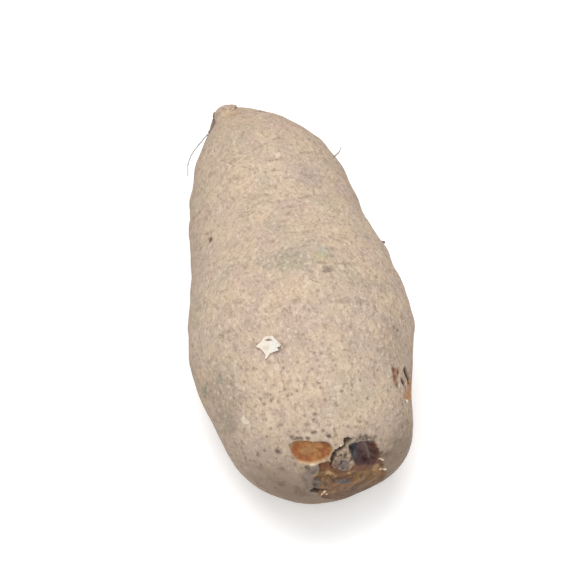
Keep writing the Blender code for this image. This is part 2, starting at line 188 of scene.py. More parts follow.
# Scar on the +X flank: outlines, lines and spots in millimetres
SCAR_PLACE = (0.047, 66)
SCAR_FLESH = (
    (6.6, -4), (9.6, -9), (8.6, -15.7), (1.6, -17.6), (-4.4, -14), (-6.7, -5), (-8.9, 0), (-7.1, 1.8),
    (-3.6, -1.6), (-1, -4.2), (3, -4.2),
)
SCAR_CRUST = ((2.4, 12.2), (3, 9.2), (0.4, 10), (-1.8, 10.4), (-3.6, 9))
SCAR_CRUST_SPOTS = ((2.5, 12.4), (2.8, 8.4), (-0.7, 10.7))
SCAR_GASHES = (
    ((8.4, 0.6), (7.6, -1.6), (6.8, -4.2), (6.5, -5.8)),
    ((1.3, 3), (0.7, 1.2)),
    ((-3.4, 7.2), (-4.8, 6.8)),
)
SCAR_GASH_HALF_WIDTHS = (2.6, 2, 1.1)
SCAR_SHADOW = ((0.6, 1), (-1.4, -1), (-3.2, -2.2))
SCAR_PALE_SPOT = ((-7.8, -3.6),)
SCAR_GREY_SPOTS = ((-6.6, 5.2), (-9.9, -0.6), (-7.4, -9), (-11, 4.5))

# Pit in the side: half sizes in millimetres, skew and depth
PIT_PLACE = (0.1522, -51)
PIT_HALF_SIZE = (0.9, 1.7)
PIT_SKEW = (0.4, -0.3)
PIT_DEPTH = 0.0014

# Stem scar on the crown
KNOB_PLACE = (0.2562, -30)
KNOB_HEIGHT = 0.0034
KNOB_RADIUS = 0.0076
BUTTON_PLACE = (0.2577, -18)
BUTTON_HALF_SIZE = (0.0050, 0.0044, 0.0016)
BUTTON_LIFT = 0.0019
BUTTON_SLOPE = 0.24
BUTTON_ROUGHNESS = 0.2
BUTTON_DIMPLE = 0.0009
BUTTON_DIMPLE_RIM = 0.75
BUTTON_LUMP_SIZE = 0.55

# Rootlets and dried slivers: points as along, around and height over the skin, then the thickest radius
ROOTLET_SUNK = 0.0030
LONG_ROOTLET = (
    (0.247, -61, 0), (0.24, -68, 0.0026), (0.234, -73, 0.0042), (0.227, -77, 0.0046),
    (0.2195, -80, 0.0036),
)
SHORT_ROOTLET = ((0.2105, 62, 0.0), (0.2113, 63, 0.0024), (0.2127, 64, 0.0046), (0.2145, 65, 0.0066))
NUB = ((0.1405, 68, 0.0), (0.1407, 68.7, 0.0007), (0.1412, 69.5, 0.0013))
SPUR = ((0.2592, -45, 0.0), (0.2600, -48, 0.0009), (0.2608, -51, 0.0016))
CROWN_SLIVER = ((0.2568, -46, 0.0), (0.2545, -52, 0.0004), (0.2505, -57, 0.0004), (0.2470, -61, 0.0003))
ROOTLET_RADIUS = 0.00050
WOBBLE = 0.0003
NUB_RADIUS = 0.0014
SPUR_RADIUS = 0.0011
SLIVER_RADIUS = 0.0011
HIDDEN_ROOTLETS = 9
HIDDEN_ALONG = (0.10, 0.24)
HIDDEN_AROUND = (118, 138)
HIDDEN_LENGTH = (0.004, 0.009)
HIDDEN_LEAN = (-0.006, 0.002)
HIDDEN_RISE = 5

# Torn scrap, in millimetres in its own plane
SCRAP_PLACE = (0.0640, -22)
SCRAP_OUTLINE = (
    (-3.4, 4.2), (-0.8, 5.8), (0.8, 5.2), (3.4, 4.6), (6, 4), (5.5, 2.5), (4.2, 2), (6.1, 1), (4.2, -1),
    (2.7, -2.6), (2.5, -5.6), (1.6, -6.6), (0.9, -4.6), (-1.3, -3.6), (-2.8, -3.1), (-5.9, -3.2),
    (-5.5, -1.6), (-4.7, 0.5), (-4.8, 2.6),
)
SCRAP_SLIT = ((-3.5, 1.8), (-2.3, 3.2), (-0.2, 4), (0.2, 3.6), (-1.4, 2.3))
SCRAP_MIDDLE_X = -0.020
SCRAP_LIFT = 0.0005
SCRAP_THICKNESS = 0.00035
SCRAP_HALF_SPAN = 7
SCRAP_STEP = 0.45
SCRAP_CURL = 0.75
SCRAP_CRUMPLE = 0.16

# Stains: along, around, half size along and around in millimetres, colour, strength
STAINS = (
    (0.052, -64, 20, 18, (150, 136, 120), 0.36), (0.066, 50, 16, 14, (156, 137, 120), 0.36),
    (0.02, 72, 14, 14, (120, 105, 88), 0.42), (0.108, -4, 10, 13, (168, 166, 146), 0.6),
    (0.113, -16, 6, 10, (180, 166, 150), 0.35), (0.096, 34, 7, 14, (178, 158, 140), 0.4),
    (0.042, -66, 8, 10, (168, 164, 146), 0.3), (0.03, -37, 5, 3, (246, 222, 196), 0.5),
    (0.24, -20, 9, 20, (218, 190, 164), 0.25), (0.228, 23, 8, 9, (214, 176, 160), 0.45),
    (0.206, -5, 5, 18, (190, 178, 158), 0.3), (0.184, 20, 10, 16, (204, 180, 168), 0.35),
    (0.078, 20, 12, 22, (198, 180, 168), 0.3), (0.056, 30, 10, 18, (196, 180, 164), 0.3),
)

# Small marks, given in the same way; one is a painted shadow under the torn scrap's lower edge
MARKS = (
    (0.1104, 11, 5.2, 5.2, (198, 191, 146), 0.55), (0.1146, 13, 4.4, 4.6, (174, 183, 164), 0.5),
    (0.1007, 13, 3.1, 4.1, (138, 120, 108), 0.75), (0.1105, 17, 1.1, 1.7, (150, 135, 120), 0.6),
    (0.0991, 8, 4.1, 0.7, (246, 214, 192), 0.7), (0.0999, 1, 1, 0.9, (244, 226, 200), 0.7),
    (0.1529, -63, 1.9, 3.2, (168, 142, 128), 0.6), (0.1553, -22, 1, 4.2, (246, 222, 194), 0.8),
    (0.1271, 4, 1, 3.8, (244, 220, 194), 0.7), (0.0696, 18, 0.8, 0.8, (140, 124, 114), 0.7),
    (0.0726, 55, 0.9, 1.4, (112, 92, 78), 0.8), (0.066, 33, 1.6, 1.9, (158, 142, 130), 0.6),
    (0.0489, 35, 1.4, 1.9, (158, 144, 130), 0.55), (0.066, 45, 1.7, 1.8, (190, 148, 118), 0.6),
    (0.1023, -63, 2, 1.7, (158, 138, 116), 0.6), (0.0959, -59, 0.8, 3.1, (158, 138, 116), 0.6),
    (0.0741, -62, 1.6, 3.9, (166, 144, 130), 0.6), (0.0617, -60, 2.5, 4.2, (156, 160, 140), 0.65),
    (0.0653, -77, 2.7, 6, (142, 156, 134), 0.65), (0.037, -54.5, 2.8, 2.4, (246, 232, 212), 1),
    (0.0345, -53.5, 2.6, 2.2, (242, 226, 202), 0.95), (0.0327, -58, 0.7, 2.8, (162, 142, 124), 0.6),
    (0.0177, -44, 1.1, 1.6, (72, 66, 72), 0.9), (0.0212, -61, 1.3, 1.6, (112, 90, 74), 0.75),
    # The first mark on the next line is a painted shadow under the torn scrap's edge
    (0.062, -17, 2.6, 5, (150, 128, 110), 0.6), (0.0254, -54, 0.9, 3.5, (164, 142, 130), 0.55),
    (0.0264, -32, 1.1, 2.5, (162, 140, 130), 0.65), (0.0426, -32, 1.3, 2.1, (162, 146, 128), 0.6),
    (0.0087, -25, 1.2, 1.4, (94, 78, 66), 0.8), (0.012, -53, 1, 2.2, (120, 106, 90), 0.65),
    (0.0036, -62, 1.7, 2.6, (104, 90, 78), 0.65), (0.0015, -74, 1.9, 3.7, (84, 72, 60), 0.7),
    (0.0087, -73, 1.4, 5, (88, 74, 60), 0.7), (0.013, 63, 1.8, 3.6, (108, 82, 62), 0.7),
    (0.0355, -33, 1.7, 1, (160, 138, 122), 0.5), (0.036, -66, 2, 2.2, (158, 136, 122), 0.5),
    (0.03, -73, 1.6, 3.6, (156, 136, 120), 0.5), (0.0177, -71, 1.5, 4, (140, 120, 104), 0.55),
    (0.152, -51, 3.1, 2.3, (44, 30, 24), 0.97), (0.1225, 7, 0.9, 2.2, (146, 126, 104), 0.65),
    (0.259, -12, 1.6, 3.5, (214, 180, 150), 0.8), (0.2518, -20, 3.8, 4.8, (216, 182, 146), 0.7),
    (0.2535, -41, 2.6, 3, (166, 138, 122), 0.8), (0.26, -26, 2.6, 3, (220, 198, 184), 0.6),
    (0.2575, -49, 2.6, 1.8, (126, 112, 104), 0.75), (0.25, -15, 1.2, 6, (178, 154, 136), 0.5),
    (0.249, 14, 1.6, 4, (128, 110, 102), 0.75), (0.203, 0, 2.2, 4.5, (240, 220, 194), 0.45),
    (0.1975, 7, 2, 3.4, (244, 216, 192), 0.4), (0.1822, 1.5, 1.6, 5, (240, 214, 186), 0.55),
    (0.1935, 2, 1.4, 7, (168, 152, 134), 0.55), (0.2129, 8.5, 1.4, 3, (166, 144, 126), 0.55),
)
RANDOM_STAINS = 90
STAIN_ALONG = (0.02, 0.25)
STAIN_TONES = ((196, 178, 164), (204, 182, 162), (226, 206, 182), (188, 178, 158), (214, 184, 164))

# Dark pores, and their size in millimetres
LENTICELS = (
    (0.0279, -48), (0.0264, -8), (0.0327, -15), (0.0366, -27), (0.0438, -24), (0.0216, -22), (0.0194, -5),
    (0.023, -14), (0.0413, -37), (0.0407, -1), (0.0185, 3), (0.0173, -1), (0.0212, 27), (0.0194, 22),
    (0.0161, 45), (0.0395, -29), (0.039, -45), (0.0254, -72), (0.0216, -72), (0.0165, -59), (0.0177, -32),
    (0.0113, -37),
)
LENTICEL_SIZE = 1.45

# Slivers of peeled skin: along, around, length in millimetres and heading
FLAKES = (
    (0.2045, -31, 3.2, 95), (0.2005, -26, 2.6, 70), (0.2033, -1, 4, 88), (0.1822, 1.5, 4.2, 96),
    (0.1585, -25, 5.5, 100), (0.1545, -30, 4, 85), (0.101, 7.5, 5, 6), (0.1275, 3.5, 3.4, 86),
    (0.127, 6, 2.4, 60), (0.1005, -8, 3.8, 98), (0.097, -30.5, 1.8, 30), (0.0965, -28.5, 1.8, 150),
    (0.19, -20, 3, 100), (0.112, 30, 3.4, 60), (0.076, -40, 3.4, 120), (0.06, 10, 3.6, 95),
)
RANDOM_FLAKES = 45
FLAKE_ALONG = (0.03, 0.245)
FLAKE_AROUND = (-140, 140)
FLAKE_LENGTH = (1.0, 2.6)
FLAKE_WIDTH = (0.5, 0.9)
FLAKE_LIFT = (0.08, 0.20)

# Fine dark creases: points as along and around, then the half width in millimetres
CREASES = (
    (((0.2068, -36), (0.2026, -31.5), (0.2004, -28.5), (0.1975, -26), (0.1946, -23)), 0.45),
    (((0.1944, -21), (0.1918, -16.5), (0.1871, -12)), 0.35),
    (((0.1946, -5), (0.1944, -2), (0.1931, 2)), 0.45),
    (((0.2129, 7), (0.2126, 10)), 0.45),
    (((0.1171, 0.6), (0.1180, 2.2), (0.1196, 4.3)), 0.50),
    (((0.1105, -10), (0.1068, -8.6), (0.1089, -6.5)), 0.40),
    (((0.0955, 3.8), (0.0935, 6.5), (0.0927, 8.8)), 0.55),
    (((0.0986, -29.9), (0.0972, -29.2)), 0.50),
    (((0.1575, -26), (0.1560, -21), (0.1556, -17)), 0.35),
    (((0.1300, 25), (0.1290, 29), (0.1296, 33)), 0.35),
)
RANDOM_CREASES = 26
CREASE_ALONG = (0.05, 0.245)
CREASE_AROUND = (-150, 150)
CREASE_LENGTH = (1.5, 4.5)
CREASE_HALF_WIDTH = (0.18, 0.34)
CREASE_SUNK = 0.05

# Fineness of the skin's mesh, and how far round each place it or the carving reaches
SIDES = 216
RINGS = 180
FINE_AROUND_WOUNDS = 2
FINE_AT_SCAR = 3
FINE_AT_CROWN = 1
TAIL_WOUNDS_SHIFT = (0.006, 0.0, -0.010)
TAIL_WOUNDS_REACH = 0.0305
SCAR_REACH = 0.019
CROWN_REACH = 0.016
WOUND_SPAN = 0.052
SCAR_SPAN = 0.024
SLICE_SPAN = 0.030
PIT_REACH = 0.004
MARK_REACH = 0.0030
FINE_AT_MARKS = 2
MARKS_TAIL_Y = -0.075

# Camera, lights and floor
AIM = (0.0003, -0.0022, 0.05)
AZIMUTH = -9.7
ELEVATION = 55.0
DISTANCE = 0.80
FOCAL_PIXELS = 1400
PICTURE = 580
SENSOR = 36.0
KEY_PLACE = (-0.10, 0.30, 1.50)
KEY_SIZE = 1.2
KEY_POWER = 15.4
FILL_PLACE = (-0.14, -0.78, 1.30)
FILL_SIZE = 1.2
FILL_POWER = 8.6
WORLD_STRENGTH = 0.35
FLOOR_GLOW = 0.25
FLOOR_HALF = 4.0

# How much light falls on top of the tuber, and on its tail and flanks, where 1 shows a colour unchanged
TOP_LIGHT = 1.25
TAIL_LIGHT = 0.92


def linear(colour):
    """The linear colour, as (r, g, b), of a 0 to 255 display colour."""
    parts = [c / 255 for c in colour]
    return tuple(c / 12.92 if c <= 0.04045 else ((c + 0.055) / 1.055) ** 2.4 for c in parts)


def shown(colour, light=TOP_LIGHT):
    """The linear base colour that shows as this display colour under this much light."""
    return tuple(min(c / light, 0.9) for c in linear(colour))


# The form of the tuber


def smooth_curve(xs, ys):
    """The natural cubic spline through the points, as a function of an array."""
    xs, ys = np.array(xs), np.array(ys)
    step = np.diff(xs)
    system, slopes = np.eye(len(xs)), np.zeros(len(xs))
    for i in range(1, len(xs) - 1):
        system[i, i - 1 : i + 2] = step[i - 1], 2 * (step[i - 1] + step[i]), step[i]
        slopes[i] = 6 * ((ys[i + 1] - ys[i]) / step[i] - (ys[i] - ys[i - 1]) / step[i - 1])
    bend = np.linalg.solve(system, slopes)

    def value(x):
        x = np.asarray(x, float)
        i = np.clip(np.searchsorted(xs, x) - 1, 0, len(step) - 1)
        before, after, h = x - xs[i], xs[i + 1] - x, step[i]
        cubic = (bend[i] * after**3 + bend[i + 1] * before**3) / (6 * h)
        line = (ys[i] / h - bend[i] * h / 6) * after + (ys[i + 1] / h - bend[i + 1] * h / 6) * before
        return cubic + line

    return value


ALONG, WIDTH, MIDDLE_X, MIDDLE_Z = zip(*SECTIONS)
half_width_squared = smooth_curve(ALONG, [(w / 2) ** 2 for w in WIDTH])
middle_x = smooth_curve(ALONG, MIDDLE_X)
middle_z = smooth_curve(ALONG, MIDDLE_Z)


def half_width_mm(along):
    return float(np.sqrt(half_width_squared(along))) / MM


def smooth_form(along, around):
    """The points of the tuber without its relief."""
    half = np.sqrt(np.maximum(half_width_squared(along), 0.0))
    angle = np.radians(around)
    x = middle_x(along) + half * np.sin(angle)
    y = np.asarray(along, float) - LENGTH / 2
    z = middle_z(along) + HEIGHT_TO_WIDTH * half * np.cos(angle)
    return np.stack(np.broadcast_arrays(x, y, z), axis=-1)


class Spot:
    """A level frame on the skin: across is horizontal, up is at right angles to it, out is the normal."""

    def __init__(self, along, around):
        step_along, step_around = 0.0005, 0.5
        self.middle = Vector(smooth_form(along, around))
        ends = [smooth_form(along + step, around) for step in (step_along, -step_along)]
        sides = [smooth_form(along, around + step) for step in (step_around, -step_around)]
        self.out = Vector(sides[0] - sides[1]).cross(Vector(ends[0] - ends[1])).normalized()
        self.across = Vector((0, 0, 1)).cross(self.out).normalized()
        self.up = self.out.cross(self.across)

    def flat(self, points):
        """Across, up and out of the points, in metres."""
        offset = points - np.array(self.middle)
        return tuple(offset @ np.array(axis) for axis in (self.across, self.up, self.out))

    def point(self, across, up, out):
        return self.middle + self.across * across + self.up * up + self.out * out

    def away(self, points):
        return np.linalg.norm(points - np.array(self.middle), axis=1)


SLICE = Spot(*SLICE_PLACE)
WOUND = Spot(*WOUND_PLACE)
SCAR = Spot(*SCAR_PLACE)
DENT = Spot(*FLANK_DENT[:2])
SWELLING = Spot(*TAIL_SWELLING[:2])
PIT = Spot(*PIT_PLACE)
KNOB = Spot(*KNOB_PLACE)


def smoothstep(low, high, value):
    t = np.clip((value - low) / (high - low), 0.0, 1.0)
    return t * t * (3 - 2 * t)


def noise_at(points, size, shift=0.0):
    """Smooth noise from -1 to 1 with lumps of this size, at each point."""
    spread = Vector((shift, 2.3 * shift, -1.7 * shift))
    return np.array([noise.noise(Vector(p) / size + spread) for p in points])


def distance_to_segment(x, y, start, end):
    dx, dy = end[0] - start[0], end[1] - start[1]
    t = np.clip(((x - start[0]) * dx + (y - start[1]) * dy) / (dx * dx + dy * dy), 0.0, 1.0)
    return np.hypot(x - start[0] - t * dx, y - start[1] - t * dy)


def distance_to_line(x, y, line):
    return np.min([distance_to_segment(x, y, a, b) for a, b in zip(line, line[1:])], axis=0)


def inside_distance(x, y, outline):
    """Distance to the outline's edge, positive inside."""
    closed = outline + outline[:1]
    inside = np.zeros(np.shape(x), bool)
    for start, end in zip(closed, closed[1:]):
        if start[1] != end[1]:
            crosses = (start[1] > y) != (end[1] > y)
            inside ^= crosses & (x < start[0] + (y - start[1]) * (end[0] - start[0]) / (end[1] - start[1]))
    nearest = distance_to_line(x, y, closed)
    return np.where(inside, nearest, -nearest)


def ring_line(points, along):
    """How far along, as the growth rings wander."""
    return along + RING_WANDER * noise_at(points, RING_WANDER_SIZE)


def skin_relief(points, ringed):
    height = sum(h * noise_at(points, size) for h, size in LUMPS)
    spread = Vector((7, 3, 5))
    strength = 0.6 + 0.8 * np.array([noise.noise(Vector(p) / RING_FADE_SIZE + spread) for p in points])
    for ring in GROWTH_RINGS:
        height = height + RING_HEIGHT * strength * np.exp(-(((ringed - ring) / RING_HALF_WIDTH) ** 2))
    for spot, (_, _, rise, size) in ((DENT, FLANK_DENT), (SWELLING, TAIL_SWELLING)):
        height = height + rise * np.exp(-((spot.away(points) / size) ** 2))
    away = KNOB.away(points) * (1 + 0.15 * noise_at(points, 0.004, 8.0))
    height = height + KNOB_HEIGHT * smoothstep(1.2 * KNOB_RADIUS, 0.5 * KNOB_RADIUS, away)
    for i, (rise, size) in enumerate(GRAIN):
        height = height + rise * noise_at(points, size, 4.0 + i)
    return height


class Paint:
    """Colours laid over one another on a set of points, with how much of the skin they cover."""

    def __init__(self, count, light):
        self.colour = np.zeros((count, 3))
        self.cover = np.zeros(count)
        self.light = light

    def lay(self, mask, colour):
        colour = np.array(shown(colour, self.light)) if isinstance(colour, tuple) else colour
        self.colour = self.colour * (1 - mask[:, None]) + colour * mask[:, None]
        self.cover = 1 - (1 - self.cover) * (1 - mask)

    def between(self, share, low, high):
        """Rows of colour between two display colours."""
        low, high = np.array(shown(low, self.light)), np.array(shown(high, self.light))
        return low + (high - low) * np.clip(share, 0, 1)[:, None]

    def put_over(self, other, near):
        """Lays another paint, made for the near points only, over this one."""
        self.colour[near] = self.colour[near] * (1 - other.cover[:, None]) + other.colour
        self.cover[near] = 1 - (1 - self.cover[near]) * (1 - other.cover)

    def where(self):
        """RGBA rows, with the colour not faded where the cover is thin."""
        cover = self.cover[:, None]
        return np.concatenate([self.colour / np.maximum(cover, 1e-4), cover], axis=1)


class Canvas:
    """A level frame's points in millimetres, to paint on, with noise that makes all edges ragged."""

    def __init__(self, spot, points, shift, paint):
        self.paint = paint
        x, y, self.height = spot.flat(points)
        self.x, self.y = x / MM, y / MM
        self.wave, self.fine, self.finer, self.finest = (
            noise_at(points, size * MM, shift) for size in (6.0, 2.4, 1.2, 0.6)
        )
        self.mottle = 0.5 + 0.5 * self.wave + 0.45 * self.fine + 0.45 * self.finer

    def inside(self, outline, ragged=0.4):
        return inside_distance(self.x, self.y, outline) + ragged * (self.fine + 0.5 * self.finer)

    def area(self, outline, soft=0.6, ragged=0.4):
        return smoothstep(-soft, soft, self.inside(outline, ragged))

    def line(self, points, half, ragged=0.35, core=0.35):
        away = distance_to_line(self.x, self.y, points) + ragged * self.fine + 0.5 * ragged * self.finer
        return smoothstep(half, core * half, away)

    def spots(self, places, size, ragged=0.3):
        away = np.min([np.hypot(self.x - x, self.y - y) for x, y in places], axis=0)
        return smoothstep(size, 0.4 * size, away + ragged * self.finer)

    def blend(self, mask, low, high, share=None):
        """Lays a colour that changes from low to high with the share, or else with the mottle."""
        share = self.mottle if share is None else share
        self.paint.lay(mask, self.paint.between(share, low, high))


def wound(points, paint):
    """Depth of the broken wound at these points, and its paint."""
    c = Canvas(WOUND, points, 9.0, paint)
    rough = noise_at(points, RAGGED_SIZE)

    # Stained skin around, and the torn flesh
    speckle = 0.5 + 0.9 * c.fine + 0.6 * c.finer
    c.blend(0.75 * c.area(WOUND_STAIN, 1.8, 1.4), (74, 64, 60), (128, 112, 102), speckle)
    torn_inside = c.inside(WOUND_EDGE, 0.5) + 0.9 * rough
    torn = smoothstep(0.0, 1.3, torn_inside)
    below = smoothstep(-18.0, -27.0, c.y)
    depth = torn * WOUND_DEPTH * (1 - 0.6 * below) * (1 + WOUND_UNEVENNESS * rough)
    depth = depth + torn * 0.35 * MM * (0.6 * c.fine + 0.5 * c.finer)
    covered = smoothstep(-0.1, 0.5, torn_inside)
    c.blend(covered, (86, 57, 36), (146, 104, 62))
    c.blend(0.85 * c.area(GOLDEN_FLESH, 1.6, 1.0) * covered, (100, 70, 38), (150, 110, 58))
    c.blend(0.8 * c.area(CENTRAL_FLESH, 1.0, 0.6) * covered, (122, 90, 60), (154, 120, 82))
    paint.lay(0.6 * covered * smoothstep(0.1, 0.5, c.fine + 0.5 * c.finer), (72, 54, 42))
    paint.lay(0.4 * covered * smoothstep(-0.2, -0.6, c.fine + 0.5 * c.finer), (160, 128, 92))
    for *place, size in DARK_BLOTCHES:
        paint.lay(0.65 * c.spots([place], size, 1.6) * covered, (64, 48, 40))
    # Painted shade: the flesh darker towards the wound's lower edge, where the surface turns under
    paint.lay(0.6 * smoothstep(-17.0, -26.0, c.y + 2 * c.wave) * covered, (84, 62, 46))
    c.blend(0.9 * c.area(RED_PATCH, 0.7), (112, 70, 46), (138, 92, 62))
    c.blend(0.9 * c.line(RED_BAND, 2.6, 0.8) * covered, (90, 58, 44), (122, 80, 56))
    # Painted shade under the lower edge of the skin island
    paint.lay(0.8 * c.line(SHADE_UNDER_ISLAND, 1.6), (112, 74, 52))
    paint.lay(0.85 * c.spots(OCHRE_SPOTS, 1.9, 1.6), (160, 132, 90))
    for line in OCHRE_RIDGES:
        lower = tuple((x, y - RIDGE_SHADOW_DROP) for x, y in line)
        broken = 0.2 + 0.8 * smoothstep(-0.4, 0.2, c.fine + 0.6 * c.wave)
        ridge, shadow = c.line(line, 1.6, 1.2) * broken, c.line(lower, 1.4, 0.8)
        depth = depth + MM * torn * (0.5 * shadow - 0.7 * ridge)
        paint.lay(0.5 * shadow * smoothstep(-0.2, 0.4, c.finer) * covered, (66, 50, 42))
        c.blend(0.9 * ridge, (140, 108, 72), (196, 164, 120))
    for outline in GREY_PATCHES:
        patch = c.area(outline, 0.7, 0.8)
        depth = depth - 0.5 * MM * patch
        c.blend(0.9 * patch, (66, 58, 58), (116, 104, 94), 0.5 + 0.8 * c.finer)
    paint.lay(0.8 * c.spots(GREY_PATCH_SPOTS, 1.4), (56, 52, 54))
    for line in BLACK_LINES:
        gap = c.line(line, 1.4, 0.4)
        depth = depth + 0.9 * MM * gap
        paint.lay(0.95 * gap, (44, 36, 32))

    # The hollow and its rim
    hollow_inside = c.inside(HOLLOW_EDGE, 0.9)
    hollow = smoothstep(-1.2, 3.0, hollow_inside)
    wrinkles = np.sin(1.6 * c.x + 0.9 * c.y + 3.0 * c.wave + 2.0 * c.fine)
    floor = HOLLOW_DEPTH * (1 + 0.2 * rough) + 0.12 * MM * wrinkles
    depth = np.maximum(depth, hollow * floor)
    # Rim strip over the hollow: mottling, partly painted shade
    c.blend(0.85 * c.line(RIM_STRIP_AND_SHADE, 1.9, 0.9), (94, 80, 66), (150, 132, 112))
    paint.lay(0.9 * c.spots(RIM_SPOTS, 0.9), (52, 44, 38))
    in_hollow = smoothstep(-0.9, 0.7, hollow_inside)
    folds = 0.5 + 0.1 * wrinkles + 0.7 * c.fine + 0.5 * c.finer
    c.blend(in_hollow, (60, 42, 40), (104, 76, 72), folds)
    upper_ink = smoothstep(1.0, 5.0, c.y)
    ink = c.area(INK_STAIN, 1.8, 1.2) * in_hollow
    c.blend(0.9 * ink, (50, 50, 54), (90, 86, 88), 0.5 + 0.8 * c.fine - 0.6 * upper_ink)
    arc = c.line(PALE_ARC, 1.0, 0.5) * in_hollow
    depth = depth - 0.4 * MM * arc
    paint.lay(0.5 * arc, (138, 120, 112))
    # Top line of the hollow, partly painted shade
    c.blend(0.8 * c.line(HOLLOW_TOP, 1.5, 1.1), (84, 74, 64), (140, 124, 108), 0.5 + 0.9 * c.finer)
    c.blend(0.85 * c.line(RED_RIM, 1.2, 0.9), (72, 42, 30), (120, 74, 46))
    paint.lay(0.8 * c.spots(RED_SPOT, 0.9), (92, 40, 32))
    strip = c.line(PALE_STRIP, 1.2, 0.6)
    depth = depth * (1 - strip) - 0.3 * MM * strip
    c.blend(0.9 * strip, (116, 102, 88), (178, 158, 138), 0.5 + 0.8 * c.finer)
    blob = c.area(CRACK_BLOB, 0.5, 0.7)
    depth = np.maximum(depth, 2.2 * MM * blob)
    c.blend(0.95 * blob, (50, 38, 30), (96, 74, 54))

    # The skin that is left in the middle, the crack above it and loose bits
    island = smoothstep(-0.1, 0.5, c.inside(ISLAND, 1.4))
    depth = depth * (1 - island) + island * (0.3 * MM - 0.35 * MM * c.finer)
    c.blend(island, (80, 64, 54), (172, 150, 126), 0.5 + 0.7 * c.finer + 0.6 * c.finest)
    low_left = smoothstep(1.0, -3.5, c.y + 0.6 * c.x + 1.5 * c.fine)
    c.blend(0.65 * low_left * island, (96, 68, 54), (134, 104, 86))
    c.blend(0.75 * c.area(ISLAND_GREY, 1.2, 1.2) * island, (88, 82, 82), (126, 116, 112), 0.5 + c.finer)
    paint.lay(0.75 * c.spots(ISLAND_PALE_SPOTS, 1.1, 0.5), (190, 168, 144))
    paint.lay(0.85 * c.spots(ISLAND_DARK_SPOTS, 1.2, 0.5), (72, 56, 46))
    for start, end, half in zip(CRACK, CRACK[1:], CRACK_HALF_WIDTHS):
        gap = c.line((start, end), half, 0.8)
        depth = np.maximum(depth, 2.0 * MM * gap)
        c.blend(0.95 * gap, (44, 32, 26), (84, 62, 48))
    for *place, size in PALE_BITS:
        bit = c.spots([place], size, 0.9)
        depth = depth - 0.5 * MM * bit
        paint.lay(bit, (236, 214, 186))
    for *place, size in DARK_BITS:
        paint.lay(0.7 * c.spots([place], size), (84, 66, 56))
    return depth


def scar(points, paint):
    """Depth of the scar on the flank at these points, and its paint."""
    c = Canvas(SCAR, points, 5.0, paint)
    flesh = c.area(SCAR_FLESH, 0.9, 0.8)
    depth = 0.5 * MM * flesh * (1 + c.fine)
    c.blend(0.9 * flesh, (150, 110, 74), (196, 150, 110))
    crust = c.line(SCAR_CRUST, 2.7, 1.0)
    depth = depth - 0.35 * MM * crust
    c.blend(0.85 * crust, (112, 76, 54), (172, 126, 98))
    paint.lay(0.9 * c.spots(SCAR_CRUST_SPOTS, 1.4, 0.5), (104, 72, 54))
    paint.lay(0.6 * c.line(SCAR_SHADOW, 1.5), (140, 112, 92))
    for line, half in zip(SCAR_GASHES, SCAR_GASH_HALF_WIDTHS):
        gash = c.line(line, half, 0.4, 0.75)
        depth = np.maximum(depth, 1.8 * MM * gash)
        c.blend(0.97 * gash, (34, 18, 9), (74, 46, 28))
    paint.lay(0.95 * c.spots(SCAR_PALE_SPOT, 1.3), (252, 226, 200))
    paint.lay(0.5 * c.spots(SCAR_GREY_SPOTS, 1.5, 0.5), (120, 106, 90))
    return depth


def sliced(points, paint):
    """The points pushed down to the knife's plane where they are in the slice, and its paint."""
    c = Canvas(SLICE, points, 6.0, paint)
    inside = inside_distance(c.x, c.y, SLICE_EDGE) + 0.25 * c.fine + 0.12 * c.finer
    share = smoothstep(-0.4, 0.3, inside)
    plane = -SLICE_DEPTH - SLICE_TILT * c.y * MM + 0.07 * MM * c.finer
    drop = np.where(c.height > plane, (plane - c.height) * share, 0.0)
    covered = smoothstep(-0.35, 0.1, inside)
    streaks = 0.5 + 0.8 * c.wave + 1.0 * c.fine + 0.6 * c.finer
    c.blend(covered, (156, 98, 56), (196, 138, 84), streaks)
    for line in SLICE_RED_PARTS:
        c.blend(0.8 * c.line(line, 2.4, 0.8) * covered, (154, 88, 48), (180, 110, 68))
    paint.lay(0.6 * c.line(SLICE_PALE_PART, 2.6, 0.8) * covered, (184, 138, 92))
    edge = smoothstep(1.9, 0.3, inside + 0.4 * c.fine) * covered
    paint.lay(0.75 * edge * smoothstep(-2.0, -6.0, c.x) * smoothstep(-1.0, 1.5, c.y), (176, 142, 92))
    paint.lay(0.5 * smoothstep(0.8, 0.1, inside) * covered, (196, 152, 108))
    # Painted shadow cast by the skin's step along the top edge of the slice
    top_step_shadow = smoothstep(1.2, 0.2, inside) * smoothstep(-2.0, 1.0, c.x) * smoothstep(2.0, 5.0, c.y)
    paint.lay(0.8 * top_step_shadow * covered, (138, 100, 70))
    # Pale lower rim, partly painted highlight, then painted highlight spots on it
    paint.lay(0.8 * c.line(SLICE_LOWER_RIM, 0.75, 0.2), (216, 184, 148))
    paint.lay(0.9 * c.spots(SLICE_HIGHLIGHT_SPOTS, 0.8, 0.2), (248, 226, 200))
    # Painted shadows of the skin's step above the slice
    for line in SLICE_STEP_SHADOWS:
        paint.lay(0.85 * c.line(line, 1.3, 0.5), (108, 90, 72))
    return drop[:, None] * np.array(SLICE.out)[None, :]


# Objects


def add_object(name, data):
    made = bpy.data.objects.new(name, data)
    bpy.context.scene.collection.objects.link(made)
    return made


def smooth_object(name, mesh, material):
    """A smooth object made of this mesh, which is used up."""
    data = bpy.data.meshes.new(name)
    mesh.to_mesh(data)
    mesh.free()
    data.shade_smooth()
    data.materials.append(material)
    return add_object(name, data)


def store(item, name, kind, key, values):
    """Keeps a value under this name at each point of the object."""
    layer = item.data.attributes.new(name, kind, "POINT")
    layer.data.foreach_set(key, np.asarray(values, np.float32).ravel())


# The skin


def places_on_sphere(points):
    """How far along and around the tuber these points of the unit sphere come to lie."""
    along = np.array([(1 + co.z) / 2 * LENGTH for co in points])
    return along, np.array([math.degrees(math.atan2(co.x, -co.y)) for co in points])


